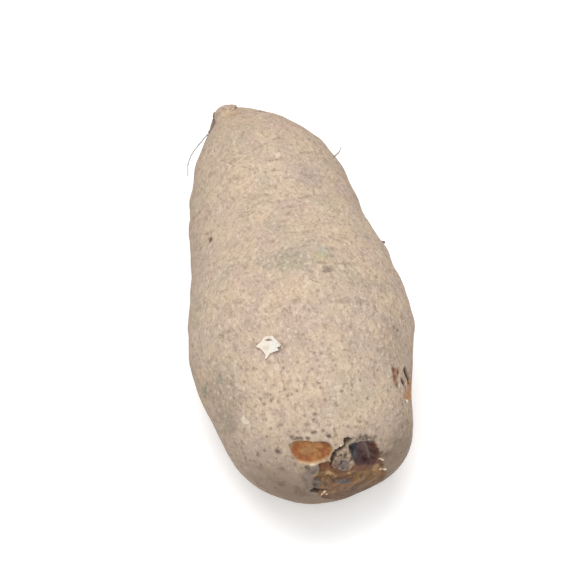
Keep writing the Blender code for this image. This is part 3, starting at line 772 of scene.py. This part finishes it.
def refine(mesh, places, reach, cuts):
    """Divides the faces of the unit sphere that come to lie this near to any of these places."""
    along, around = places_on_sphere([face.calc_center_median() for face in mesh.faces])
    points = smooth_form(along, around)
    close = np.zeros(len(points), bool)
    for place in places:
        close |= np.linalg.norm(points - np.array(place), axis=1) < reach
    faces = [face for face, is_close in zip(mesh.faces, close) if is_close]
    edges = dict.fromkeys(edge for face in faces for edge in face.edges)
    bmesh.ops.subdivide_edges(mesh, edges=list(edges), cuts=cuts, use_grid_fill=True)


def stains_and_painted_shade(points, along, around):
    """The stains that the photo shows, and seeded ones on all sides; one of the marks is a painted shadow
    under the torn scrap.
    """
    paint = Paint(len(points), TOP_LIGHT)
    draw = random.Random(SEED + 1)
    stains_marks_and_shade = list(STAINS)
    for _ in range(RANDOM_STAINS):
        place = (draw.uniform(*STAIN_ALONG), draw.uniform(-180, 180))
        sizes = (draw.uniform(3, 10), draw.uniform(4, 14))
        stains_marks_and_shade.append((*place, *sizes, draw.choice(STAIN_TONES), draw.uniform(0.15, 0.4)))
    stains_marks_and_shade += MARKS
    wobble = noise_at(points, 5 * MM, 12.0) + 0.6 * noise_at(points, 2.2 * MM, 13.0)
    for at_along, at_around, half_along, half_around, colour, strength in stains_marks_and_shade:
        turn = (around - at_around + 180) % 360 - 180
        across = np.radians(turn) * half_width_mm(at_along) / half_around
        lengthwise = (along - at_along) / MM / half_along
        away = np.hypot(across, lengthwise) + 0.35 * wobble
        paint.lay(strength * smoothstep(1.25, 0.45, away), colour)
    for at_along, at_around in LENTICELS:
        away = Spot(at_along, at_around).away(points) / MM + 0.3 * wobble
        strength = draw.uniform(0.45, 0.75)
        paint.lay(strength * smoothstep(LENTICEL_SIZE, 0.3 * LENTICEL_SIZE, away), (112, 92, 82))
    return paint


def make_skin(material):
    mesh = bmesh.new()
    bmesh.ops.create_uvsphere(mesh, u_segments=SIDES, v_segments=RINGS, radius=1.0)
    tail_wounds = (SLICE.middle + WOUND.middle) / 2 + Vector(TAIL_WOUNDS_SHIFT)
    fine = (
        (tail_wounds, TAIL_WOUNDS_REACH, FINE_AROUND_WOUNDS),
        (SCAR.middle, SCAR_REACH, FINE_AT_SCAR),
        (PIT.middle, PIT_REACH, FINE_AT_SCAR),
        (KNOB.middle, CROWN_REACH, FINE_AT_CROWN),
    )
    for middle, reach, cuts in fine:
        refine(mesh, [middle], reach, cuts)
    small = [Spot(*mark[:2]).middle for mark in MARKS + LENTICELS]
    clear = [place for place in small if all((place - middle).length > reach for middle, reach, _ in fine)]
    refine(mesh, [place for place in clear if place.y < MARKS_TAIL_Y], MARK_REACH, 1)
    refine(mesh, [place for place in clear if place.y >= MARKS_TAIL_Y], MARK_REACH, FINE_AT_MARKS)
    for vertex in mesh.verts:
        vertex.co.normalize()
    along, around = places_on_sphere([vertex.co for vertex in mesh.verts])
    points = smooth_form(along, around)
    for vertex, point in zip(mesh.verts, points):
        vertex.co = point
    mesh.normal_update()
    normals = np.array([vertex.normal[:] for vertex in mesh.verts])
    ringed = ring_line(points, along)
    relief = skin_relief(points, ringed)
    paint = Paint(len(points), TAIL_LIGHT)
    depth = np.zeros(len(points))
    for spot, span, carve in ((WOUND, WOUND_SPAN, wound), (SCAR, SCAR_SPAN, scar)):
        near = spot.away(points) < span
        part = Paint(int(near.sum()), TAIL_LIGHT)
        carved = carve(points[near], part)
        depth[near] = np.where(np.abs(carved) > np.abs(depth[near]), carved, depth[near])
        paint.put_over(part, near)
    pit_x, pit_y, _ = PIT.flat(points)
    pit_x, pit_y = pit_x + PIT_SKEW[0] * pit_y, pit_y + PIT_SKEW[1] * pit_x
    pit_away = np.hypot(pit_x / PIT_HALF_SIZE[0], pit_y / PIT_HALF_SIZE[1]) / MM
    depth = depth + PIT_DEPTH * smoothstep(1.2, 0.3, pit_away)
    points = points + normals * (relief - depth)[:, None]
    near = SLICE.away(points) < SLICE_SPAN
    part = Paint(int(near.sum()), TOP_LIGHT)
    points[near] += sliced(points[near], part)
    paint.put_over(part, near)
    points[:, 2] = np.maximum(points[:, 2], 0.0)
    for vertex, point in zip(mesh.verts, points):
        vertex.co = point
    skin = smooth_object("tuber_skin", mesh, material)
    store(skin, "wound_paint", "FLOAT_COLOR", "color", paint.where())
    store(skin, "stains_and_painted_shade", "FLOAT_COLOR", "color", stains_and_painted_shade(points, along, around).where())
    store(skin, "ring_line", "FLOAT", "value", ringed)
    return skin


# Small pieces


def object_from(name, points, faces, material):
    raw = bpy.data.meshes.new(name)
    raw.from_pydata([tuple(p) for p in points], [], faces)
    raw.validate()
    mesh = bmesh.new()
    mesh.from_mesh(raw)
    bpy.data.meshes.remove(raw)
    bmesh.ops.recalc_face_normals(mesh, faces=mesh.faces)
    return smooth_object(name, mesh, material)


class Surface:
    """The finished skin, to set things on."""

    def __init__(self, skin):
        data = skin.data
        points = [v.co.copy() for v in data.vertices]
        faces = [tuple(p.vertices) for p in data.polygons]
        self.tree = BVHTree.FromPolygons(points, faces)

    def under(self, start, out):
        """Where the skin is met from this point, going inwards."""
        return self.tree.ray_cast(start, -out)[0]

    def at(self, along, around, height=0.0):
        """The point at that place, that high over the skin."""
        spot = Spot(along, around)
        base = self.under(spot.middle + spot.out * RAY_START, spot.out) or spot.middle
        return base + spot.out * height


def resample(points, count):
    """Points at even steps on the smooth line through these."""
    spline = []
    padded = [points[0] * 2 - points[1], *points, points[-1] * 2 - points[-2]]
    for a, b, c, d in zip(padded, padded[1:], padded[2:], padded[3:]):
        for i in range(12):
            t = i / 12
            bent = (2 * a - 5 * b + 4 * c - d) * t**2 + (3 * b - a - 3 * c + d) * t**3
            spline.append(0.5 * (2 * b + (c - a) * t + bent))
    spline.append(points[-1])
    steps = [0.0]
    for a, b in zip(spline, spline[1:]):
        steps.append(steps[-1] + (b - a).length)
    wanted = np.linspace(0, steps[-1], count)
    return [Vector([np.interp(w, steps, [p[k] for p in spline]) for k in range(3)]) for w in wanted]


def heading(line, i):
    return (line[min(i + 1, len(line) - 1)] - line[max(i - 1, 0)]).normalized()


def tube_faces(count, sides):
    """The faces of a closed tube that has this many rings of points."""
    faces = []
    for i in range(count - 1):
        for k in range(sides):
            a, b = i * sides + k, i * sides + (k + 1) % sides
            faces.append((a, b, b + sides, a + sides))
    last = (count - 1) * sides
    return [*faces, tuple(range(sides)), tuple(range(last, last + sides))]


def tube(line, radii, sides, uneven):
    """(points, faces) of a closed tube, thicker and thinner by the noise."""
    points = []
    side = (line[1] - line[0]).orthogonal().normalized()
    for i, point in enumerate(line):
        ahead = heading(line, i)
        side = (side - ahead * side.dot(ahead)).normalized()
        other = ahead.cross(side)
        for k in range(sides):
            turn = 2 * math.pi * k / sides
            spoke = side * math.cos(turn) + other * math.sin(turn)
            swell = 1 + uneven * noise.noise((point + spoke * radii[i]) / (1.3 * MM))
            points.append(point + spoke * radii[i] * swell)
    return points, tube_faces(len(line), sides)


def root_tube(
    surface, places, radius, sunk=ROOTLET_SUNK, taper=0.6, uneven=0.35, count=40, sides=10, wobble=0.0
):
    """A dried root that leaves the skin at the first place: (points, faces)."""
    line = [surface.at(*places[0][:2], -sunk)] + [surface.at(*place) for place in places]
    line = resample(line, count)
    for i, point in enumerate(line):
        bend = Vector([noise.noise(point / (3 * MM) + Vector((k * 5.0, 0, 0))) for k in range(3)])
        line[i] = point + bend * wobble * min(i / 8, 1)
    radii = [radius * (1 - taper * i / (count - 1)) for i in range(count)]
    return tube(line, radii, sides, uneven)


def joined(parts):
    points, faces = [], []
    for some_points, some_faces in parts:
        start = len(points)
        points += some_points
        faces += [tuple(v + start for v in face) for face in some_faces]
    return points, faces


def hidden_rootlets(surface):
    draw = random.Random(SEED)
    parts = []
    for i in range(HIDDEN_ROOTLETS):
        side = -1 if i % 2 else 1
        along, around = draw.uniform(*HIDDEN_ALONG), side * draw.uniform(*HIDDEN_AROUND)
        length, lean = draw.uniform(*HIDDEN_LENGTH), draw.uniform(*HIDDEN_LEAN)
        places = []
        for t in (0.0, 0.35, 0.7, 1.0):
            places.append((along + lean * t * t, around - side * HIDDEN_RISE * t, length * t))
        parts.append(root_tube(surface, places, ROOTLET_RADIUS, count=22, sides=8, wobble=0.4 * MM))
    return joined(parts)


def stem_button(material):
    """The corky button of the stem: dimpled on top, cracked and ragged at its rim."""
    spot = Spot(*BUTTON_PLACE)
    mesh = bmesh.new()
    bmesh.ops.create_icosphere(mesh, subdivisions=6, radius=1.0)
    tones = []
    for vertex in mesh.verts:
        x, y, z = vertex.co
        turn = math.atan2(y, x)
        rough = 1 + BUTTON_ROUGHNESS * noise.noise(vertex.co / BUTTON_LUMP_SIZE)
        rough += 0.035 * noise.noise(vertex.co / 0.16) + 0.015 * noise.noise(vertex.co / 0.07)
        ridge = math.sin(9 * turn + 3 * noise.noise(vertex.co / 0.5)) * math.hypot(x, y)
        rough += 0.012 * ridge * (z > -0.2)
        dimple = BUTTON_DIMPLE * float(smoothstep(BUTTON_DIMPLE_RIM, 1.0, z))
        a, b, c = (size * rough * part for size, part in zip(BUTTON_HALF_SIZE, (x, y, z)))
        tones.append(noise.noise(vertex.co / 0.22) + 0.5 * ridge)
        vertex.co = spot.point(a, b, c + BUTTON_LIFT + BUTTON_SLOPE * a - dimple)
    button = smooth_object("stem_button", mesh, material)
    store(button, "tone", "FLOAT", "value", tones)
    return button


def crease(surface, places, half_width):
    """A dark fold, narrow at its ends, that hardly stands out of the skin: (points, faces)."""
    line = resample([surface.at(*place) for place in places], 14)
    out = Spot(*places[len(places) // 2]).out
    points = []
    for i, point in enumerate(line):
        t = 2 * i / (len(line) - 1) - 1
        side = heading(line, i).cross(out).normalized()
        wide = half_width * MM * (0.15 + 0.85 * (1 - t * t)) * (0.8 + 0.8 * noise.noise(point / (1.1 * MM)))
        for across, rise in ((-1, -CREASE_SUNK), (0, 0.10), (1, -CREASE_SUNK)):
            hit = surface.under(point + side * across * wide + out * RAY_START / 2, out)
            points.append((hit or point) + out * rise * MM)
    return points, tube_faces(len(line), 3)


def skin_creases(surface):
    draw = random.Random(SEED + 4)
    parts = [crease(surface, *one) for one in CREASES]
    for _ in range(RANDOM_CREASES):
        along, around = draw.uniform(*CREASE_ALONG), draw.uniform(*CREASE_AROUND)
        length, lean = draw.uniform(*CREASE_LENGTH), draw.uniform(-0.5, 0.5)
        places = []
        for t in (-0.5, 0.0, 0.5):
            bow = draw.uniform(-0.3, 0.3)
            turn = math.degrees(t * length / half_width_mm(along))
            places.append((along + (lean * t * length + bow) * MM, around + turn))
        parts.append(crease(surface, places, draw.uniform(*CREASE_HALF_WIDTH)))
    return joined(parts)


def flake(surface, along, around, length, turned, draw):
    """A thin sliver of peeled skin, held along one edge: (points, faces)."""
    count = 9
    width = draw.uniform(*FLAKE_WIDTH)
    bow = draw.uniform(-0.25, 0.25)
    lift = draw.uniform(*FLAKE_LIFT)
    cos_h, sin_h = math.cos(math.radians(turned)), math.sin(math.radians(turned))
    points = []
    for i in range(count):
        t = 2 * i / (count - 1) - 1
        taper = math.sqrt(max(1 - t * t, 0.0)) * 0.85 + 0.15
        for side, height in ((-0.5, -0.25), (-0.5, 0.02), (0.5, lift), (0.5, lift - 0.16)):
            u = t * length / 2
            v = side * width * taper + bow * length * (t * t - 0.5)
            v += 0.15 * noise.noise(Vector((u, along * 900, side)))
            lengthwise, sideways = u * cos_h - v * sin_h, u * sin_h + v * cos_h
            place = (along + lengthwise * MM, around + math.degrees(sideways / half_width_mm(along)))
            points.append(surface.at(*place, (height if side < 0 else height * taper) * MM))
    return points, tube_faces(count, 4)


def skin_flakes(surface):
    draw = random.Random(SEED + 2)
    parts = [flake(surface, *one, draw) for one in FLAKES]
    for _ in range(RANDOM_FLAKES):
        place = (draw.uniform(*FLAKE_ALONG), draw.uniform(*FLAKE_AROUND))
        parts.append(flake(surface, *place, draw.uniform(*FLAKE_LENGTH), draw.gauss(80, 35), draw))
    return joined(parts)


def scrap(surface, material):
    """The torn scrap: a thin sheet with ragged edges that curls up at its corners."""
    spot = Spot(*SCRAP_PLACE)
    draw = random.Random(SEED + 3)

    def ragged(outline, step, size):
        """The outline with more points, moved at random."""
        dense = []
        for start, end in zip(outline, outline[1:] + outline[:1]):
            count = max(int(math.hypot(end[0] - start[0], end[1] - start[1]) / step), 1)
            for i in range(count):
                t = i / count
                jitter = (draw.uniform(-size, size), draw.uniform(-size, size)) if i else (0.0, 0.0)
                dense.append(tuple(start[k] + (end[k] - start[k]) * t + jitter[k] for k in range(2)))
        return dense

    def depth(x, y, outline):
        """How deep inside the outline the point is."""
        return float(inside_distance(np.array(x), np.array(y), outline))

    edge, slit = ragged(SCRAP_OUTLINE, 0.35, 0.10), ragged(SCRAP_SLIT, 0.3, 0.05)
    flat = edge + slit
    loops = [(i, (i + 1) % len(edge)) for i in range(len(edge))]
    loops += [(len(edge) + i, len(edge) + (i + 1) % len(slit)) for i in range(len(slit))]
    grid = [float(g) for g in np.arange(-SCRAP_HALF_SPAN, SCRAP_HALF_SPAN, SCRAP_STEP)]
    for x in grid:
        for y in grid:
            if depth(x, y, edge) > 0.25 and depth(x, y, slit) < -0.2:
                flat.append((x, y))
    made = geometry.delaunay_2d_cdt([Vector(p) for p in flat], loops, [], 1, 1e-5)
    verts, tris = made[0], made[2]
    kept = []
    for tri in tris:
        x, y = (sum(verts[v][k] for v in tri) / 3 for k in range(2))
        if depth(x, y, slit) < 0 and depth(x, y, edge) > 0:
            kept.append(tuple(tri))
    points = []
    for x, y in verts:
        away = math.hypot(x, y) / 6
        curl = SCRAP_CURL * away**2.2 * (0.6 + 0.7 * noise.noise(Vector((x / 4, y / 4, 2.0))))
        crumple = SCRAP_CRUMPLE * noise.noise(Vector((x / 1.6, y / 1.6, 0.0)))
        hit = surface.under(spot.point(x * MM, y * MM, RAY_START), spot.out)
        points.append(hit + spot.out * (SCRAP_LIFT + SCRAP_THICKNESS / 2 + (curl + crumple) * MM))
    sheet = object_from("white_scrap_torn", points, kept, material)
    solid = sheet.modifiers.new("thickness", "SOLIDIFY")
    solid.thickness = SCRAP_THICKNESS
    solid.offset = 0.0
    return sheet


# Materials


class Shader:
    """A material's nodes, built by short calls, and the colour mixed so far."""

    def __init__(self, name):
        self.material = bpy.data.materials.new(name)
        self.material.use_nodes = True
        self.tree = self.material.node_tree
        self.surface = self.tree.nodes["Principled BSDF"]
        self.put(0.0, self.surface.inputs["Metallic"])
        self.colour = None

    def put(self, value, socket):
        if isinstance(value, bpy.types.NodeSocket):
            self.tree.links.new(value, socket)
        elif isinstance(value, tuple) and len(value) == 3 and socket.type == "RGBA":
            socket.default_value = (*value, 1.0)
        else:
            socket.default_value = value

    def node(self, kind, sockets, **settings):
        """A node with these settings, and with these values or links on its sockets."""
        made = self.tree.nodes.new("ShaderNode" + kind)
        for key, value in settings.items():
            setattr(made, key, value)
        for key, value in sockets.items():
            self.put(value, made.inputs[key])
        return made

    def place(self, stretch=(1.0, 1.0, 1.0), shift=(0.0, 0.0, 0.0)):
        here = self.node("TexCoord", {}).outputs["Object"]
        return self.node("Mapping", {"Scale": stretch, "Location": shift, "Vector": here}).outputs["Vector"]

    def axes(self):
        """The outputs X, Y and Z of the place."""
        return self.node("SeparateXYZ", {0: self.node("TexCoord", {}).outputs["Object"]}).outputs

    def noise(self, place, size, detail=2.0, roughness=0.5, distortion=0.0):
        form = {"Detail": detail, "Roughness": roughness, "Distortion": distortion}
        return self.node("TexNoise", {"Vector": place, "Scale": 1 / size, **form}).outputs["Fac"]

    def cells(self, place, size):
        """(distance to the nearest point, random number of the point), with points this far apart."""
        made = self.node("TexVoronoi", {"Vector": place, "Scale": 1 / size}, feature="F1")
        return made.outputs["Distance"], self.math("ADD", made.outputs["Color"], 0.0)

    def math(self, operation, a, b=0.0):
        return self.node("Math", {0: a, 1: b}, operation=operation).outputs[0]

    def times(self, a, b):
        return self.math("MULTIPLY", a, b)

    def step(self, value, low, high):
        """0 at low and 1 at high, smoothly; low may be the larger."""
        sockets = {"Value": value, "From Min": min(low, high), "From Max": max(low, high)}
        sockets.update({"To Min": float(low > high), "To Max": float(low <= high)})
        return self.node("MapRange", sockets, interpolation_type="SMOOTHSTEP").outputs["Result"]

    def share(self, value, low, high, strength):
        """As step, but reaching this strength."""
        return self.times(self.step(value, low, high), strength)

    def mix(self, share, a, b):
        return self.node("Mix", {0: share, 6: a, 7: b}, data_type="RGBA").outputs[2]

    def start(self, value, low, high, first, second):
        """Begins the colour, which turns from the first to the second display colour."""
        self.colour = self.mix(self.step(value, low, high), shown(first), shown(second))

    def over(self, share, colour):
        """Mixes this colour in."""
        self.colour = self.mix(share, self.colour, colour)

    def tint(self, value, low, high, strength, colour):
        """Mixes this display colour in, smoothly as the value goes from low to high."""
        self.over(self.share(value, low, high, strength), shown(colour))

    def attribute(self, name):
        return self.node("Attribute", {}, attribute_name=name).outputs

    def total(self, *weighted):
        """The sum of value times weight."""
        result = 0.0
        for value, weight in weighted:
            result = self.math("ADD", result, self.times(value, weight))
        return result

    def finish(self, roughness, specular, height, strength=0.8):
        """The material, with its colour, its gloss and its relief in metres."""
        relief = self.node("Bump", {"Strength": strength, "Distance": 1.0, "Height": height})
        self.put(relief.outputs["Normal"], self.surface.inputs["Normal"])
        self.put(self.colour, self.surface.inputs["Base Color"])
        self.put(roughness, self.surface.inputs["Roughness"])
        self.put(specular, self.surface.inputs["Specular IOR Level"])
        return self.material


def skin_material():
    s = Shader("yam_skin_dry")
    even = s.place()
    axes = s.axes()
    y, z = axes["Y"], axes["Z"]
    tailward = s.step(y, -0.050, -0.094)
    broad = s.noise(even, 0.030, 3.0, 0.5)
    hue = s.noise(s.place(shift=(1.0, 2.0, 3.0)), 0.013, 3.0, 0.55)
    patchy = s.noise(s.place(shift=(5.0, 1.0, 2.0)), 0.0060, 3.0, 0.6, 0.5)
    grain = s.noise(s.place(stretch=(1.0, 0.72, 1.0), shift=(0.3, 0.1, 0.0)), 0.0019, 2.0, 0.6, 0.7)
    dust = s.noise(s.place(shift=(4.0, 0.0, 1.0)), 0.0009, 2.0, 0.6)

    # Broad changes of colour, then the stains
    s.start(hue, 0.38, 0.62, (222, 197, 170), (211, 187, 169))
    s.tint(broad, 0.54, 0.70, 0.6, (200, 187, 162))
    s.tint(patchy, 0.52, 0.74, 0.70, (184, 161, 144))
    s.tint(patchy, 0.46, 0.28, 0.65, (232, 210, 184))
    # Stains, with one painted shadow under the scrap among them
    stain_and_shade = s.attribute("stains_and_painted_shade")
    s.over(stain_and_shade["Alpha"], stain_and_shade["Color"])

    # Sandy grain
    s.tint(grain, 0.52, 0.72, 0.72, (166, 142, 124))
    s.tint(grain, 0.47, 0.29, 0.72, (242, 221, 197))
    s.tint(dust, 0.55, 0.75, 0.30, (160, 138, 120))
    s.tint(dust, 0.45, 0.25, 0.30, (248, 230, 208))

    # Pale flecks, and the blurred dark dots that crowd towards the tail
    fleck_away, fleck_random = s.cells(s.place(stretch=(1.0, 0.6, 1.0), shift=(0.8, 0.3, 0.4)), 0.0042)
    flecks = s.times(s.step(fleck_away, 0.36, 0.12), s.step(fleck_random, 0.50, 0.60))
    s.over(s.times(flecks, 0.50), shown((242, 218, 192)))
    dot_away, dot_random = s.cells(s.place(shift=(0.2, 0.5, 0.9)), 0.0036)
    dots = s.step(s.total((dot_away, 1.0), (dot_random, -0.12), (patchy, 0.14)), 0.36, 0.08)
    dot_strength = s.times(s.total((tailward, 0.50), (0.06, 1.0)), s.step(dot_random, 0.15, 0.60))
    s.over(s.times(dots, dot_strength), shown((122, 101, 88)))

    # Faint broken creases below the growth rings: painted shade at the foot of each ring, also grooved in
    # the relief
    ring = s.attribute("ring_line")["Fac"]
    crease = 0.0
    for at in GROWTH_RINGS:
        away = s.math("ABSOLUTE", s.math("SUBTRACT", ring, at - 0.0042))
        away = s.total((away, 1.0), (patchy, 0.006), (-0.003, 1.0))
        crease = s.math("ADD", crease, s.step(away, 0.0011, 0.0002))
    crease = s.times(crease, s.step(s.noise(even, 0.012, 2.0), 0.50, 0.64))
    # Painted shade below each growth ring
    s.over(s.times(crease, 0.35), shown((146, 124, 108)))

    # Painted shade: greyer and darker round the tail's tip and underneath
    spread = s.total((y, 1.0), (patchy, 0.030), (grain, 0.016), (-0.023, 1.0))
    tail_painted_shade = s.times(s.share(spread, -0.102, -0.128, 0.75), s.step(z, 0.085, 0.045))
    s.over(tail_painted_shade, shown((122, 104, 88)))
    # Painted shade, darker the lower the skin lies
    darkening = s.total((z, 1.0), (hue, 0.03), (-0.015, 1.0))
    s.tint(darkening, 0.092, 0.018, 0.58, (136, 116, 98))

    flesh = s.attribute("wound_paint")
    s.over(flesh["Alpha"], s.mix(s.share(dust, 0.5, 0.7, 0.25), flesh["Color"], shown((80, 60, 50))))
    wet = s.times(flesh["Alpha"], s.step(y, -0.098, -0.112))
    roughness = s.total((grain, 0.12), (wet, -0.34), (0.86, 1.0))
    pits, rises = ((dots, -0.00028), (crease, -0.00035)), ((patchy, 0.0005), (flecks, 0.00022))
    height = s.total((grain, 0.0004), (dust, 0.00018), *pits, *rises)
    return s.finish(roughness, 0.28, height, 0.9)


def cork_material():
    """The dried knob of the stem: skin coloured, brown at its foot, with an orange patch."""
    s = Shader("cork_dry")
    even = s.place()
    tone = s.attribute("tone")["Fac"]
    grain = s.noise(even, 0.0012, 3.0, 0.6)
    warm = s.noise(s.place(shift=(2.0, 0.0, 0.0)), 0.0045, 2.0)
    s.start(tone, -0.5, 0.5, (178, 154, 138), (216, 194, 176))
    s.tint(warm, 0.46, 0.60, 0.75, (214, 178, 144))
    s.tint(tone, -0.28, -0.60, 0.7, (140, 118, 104))
    s.tint(grain, 0.52, 0.74, 0.5, (140, 118, 102))
    s.tint(grain, 0.46, 0.28, 0.4, (238, 214, 190))
    return s.finish(0.9, 0.25, s.total((grain, 0.0004), (s.noise(even, 0.0004, 2.0), 0.0001)))


def root_material(name, dark, light):
    s = Shader(name)
    fibres = s.noise(s.place(stretch=(1.0, 0.3, 1.0)), 0.0009, 3.0, 0.6)
    s.start(fibres, 0.35, 0.65, dark, light)
    return s.finish(0.8, 0.3, s.times(fibres, 0.0002))


def flake_material():
    s = Shader("skin_flake")
    even = s.place()
    patchy = s.noise(even, 0.0035, 3.0, 0.6)
    grain = s.noise(even, 0.0008, 2.0, 0.6)
    s.start(patchy, 0.35, 0.65, (222, 200, 174), (242, 220, 194))
    s.tint(grain, 0.5, 0.7, 0.4, (184, 160, 140))
    return s.finish(0.9, 0.25, s.times(grain, 0.0003))


def crease_material():
    s = Shader("skin_crease")
    grain = s.noise(s.place(), 0.0018, 2.0, 0.6)
    s.start(grain, 0.35, 0.65, (154, 132, 114), (206, 183, 160))
    return s.finish(0.95, 0.1, s.times(grain, 0.0003))


def scrap_material():
    s = Shader("torn_white")
    fibres = s.noise(s.place(stretch=(1.0, 0.35, 1.0)), 0.0007, 3.0, 0.6)
    darkening = s.noise(s.place(), 0.0040, 3.0, 0.6)
    right, left = SCRAP_MIDDLE_X + 0.003, SCRAP_MIDDLE_X - 0.003
    s.start(s.axes()["X"], right, left, (250, 250, 242), (255, 243, 226))
    s.tint(fibres, 0.4, 0.7, 0.6, (232, 222, 206))
    s.tint(darkening, 0.54, 0.70, 0.6, (214, 196, 172))
    return s.finish(0.75, 0.3, s.total((fibres, 0.00012), (darkening, 0.0002)))


# Floor, lights and camera


def make_stage():
    data = bpy.data.meshes.new("floor")
    corners = [(x * FLOOR_HALF, y * FLOOR_HALF, 0) for x, y in ((-1, -1), (1, -1), (1, 1), (-1, 1))]
    data.from_pydata(corners, [], [(0, 1, 2, 3)])
    s = Shader("floor_pale")
    values = {"Base Color": linear((250, 250, 250)), "Roughness": 0.95, "Specular IOR Level": 0.1}
    values.update({"Emission Color": (1.0, 1.0, 1.0), "Emission Strength": FLOOR_GLOW})
    for key, value in values.items():
        s.put(value, s.surface.inputs[key])
    data.materials.append(s.material)
    add_object("floor", data)
    world = bpy.data.worlds.new("studio")
    world.use_nodes = True
    background = world.node_tree.nodes["Background"]
    background.inputs["Color"].default_value = (0.98, 0.99, 1.0, 1.0)
    background.inputs["Strength"].default_value = WORLD_STRENGTH
    bpy.context.scene.world = world


def aim(item, place, direction):
    """Puts a light or the camera at this place, pointed in this direction."""
    item.location = place
    item.rotation_mode = "QUATERNION"
    item.rotation_quaternion = direction.to_track_quat("-Z", "Y")


def area_light(name, place, size, power, colour):
    data = bpy.data.lights.new(name, "AREA")
    data.shape = "DISK"
    data.size = size
    data.energy = power
    data.color = colour
    aim(add_object(name, data), place, Vector(AIM) - Vector(place))


def make_camera():
    data = bpy.data.cameras.new("camera")
    data.sensor_width = SENSOR
    data.lens = SENSOR * FOCAL_PIXELS / PICTURE
    data.clip_start, data.clip_end = 0.01, 20.0
    a, e = math.radians(AZIMUTH), math.radians(ELEVATION)
    back = Vector((math.sin(a) * math.cos(e), -math.cos(a) * math.cos(e), math.sin(e)))
    bpy.context.scene.camera = add_object("camera", data)
    aim(bpy.context.scene.camera, Vector(AIM) + back * DISTANCE, -back)


def main():
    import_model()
    make_stage()
    area_light("key", KEY_PLACE, KEY_SIZE, KEY_POWER, (1.0, 0.99, 0.975))
    area_light("fill", FILL_PLACE, FILL_SIZE, FILL_POWER, (0.98, 0.99, 1.0))
    make_camera()
    bpy.context.scene.view_settings.view_transform = "Standard"
    skin = make_skin(skin_material())
    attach(skin, BODY)
    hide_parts("tuber")
    surface = Surface(skin)
    grey_root = root_material("rootlet_grey", (168, 166, 168), (214, 212, 212))
    brown_root = root_material("rootlet_brown", (98, 86, 78), (164, 146, 130))

    def rooted(name, places, radius, material, **form):
        return object_from(name, *root_tube(surface, places, radius, **form), material)

    pieces = [
        stem_button(cork_material()),
        rooted("long_rootlet", LONG_ROOTLET, ROOTLET_RADIUS, grey_root, count=60, taper=0.35, wobble=WOBBLE),
        rooted("short_rootlet", SHORT_ROOTLET, ROOTLET_RADIUS, brown_root, wobble=WOBBLE),
        rooted("nub", NUB, NUB_RADIUS, brown_root, taper=0.5),
        rooted("spur", SPUR, SPUR_RADIUS, brown_root, taper=0.5),
        rooted("crown_sliver", CROWN_SLIVER, SLIVER_RADIUS, brown_root, sunk=0.001, uneven=0.7, taper=0.5),
        object_from("hidden_rootlets", *hidden_rootlets(surface), grey_root),
        object_from("skin_flakes", *skin_flakes(surface), flake_material()),
        object_from("skin_creases", *skin_creases(surface), crease_material()),
    ]
    for piece in pieces:
        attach(piece, BODY)
    torn = scrap(surface, scrap_material())
    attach(torn, BODY)
    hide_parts("white_scrap")
    bpy.context.view_layer.update()


main()
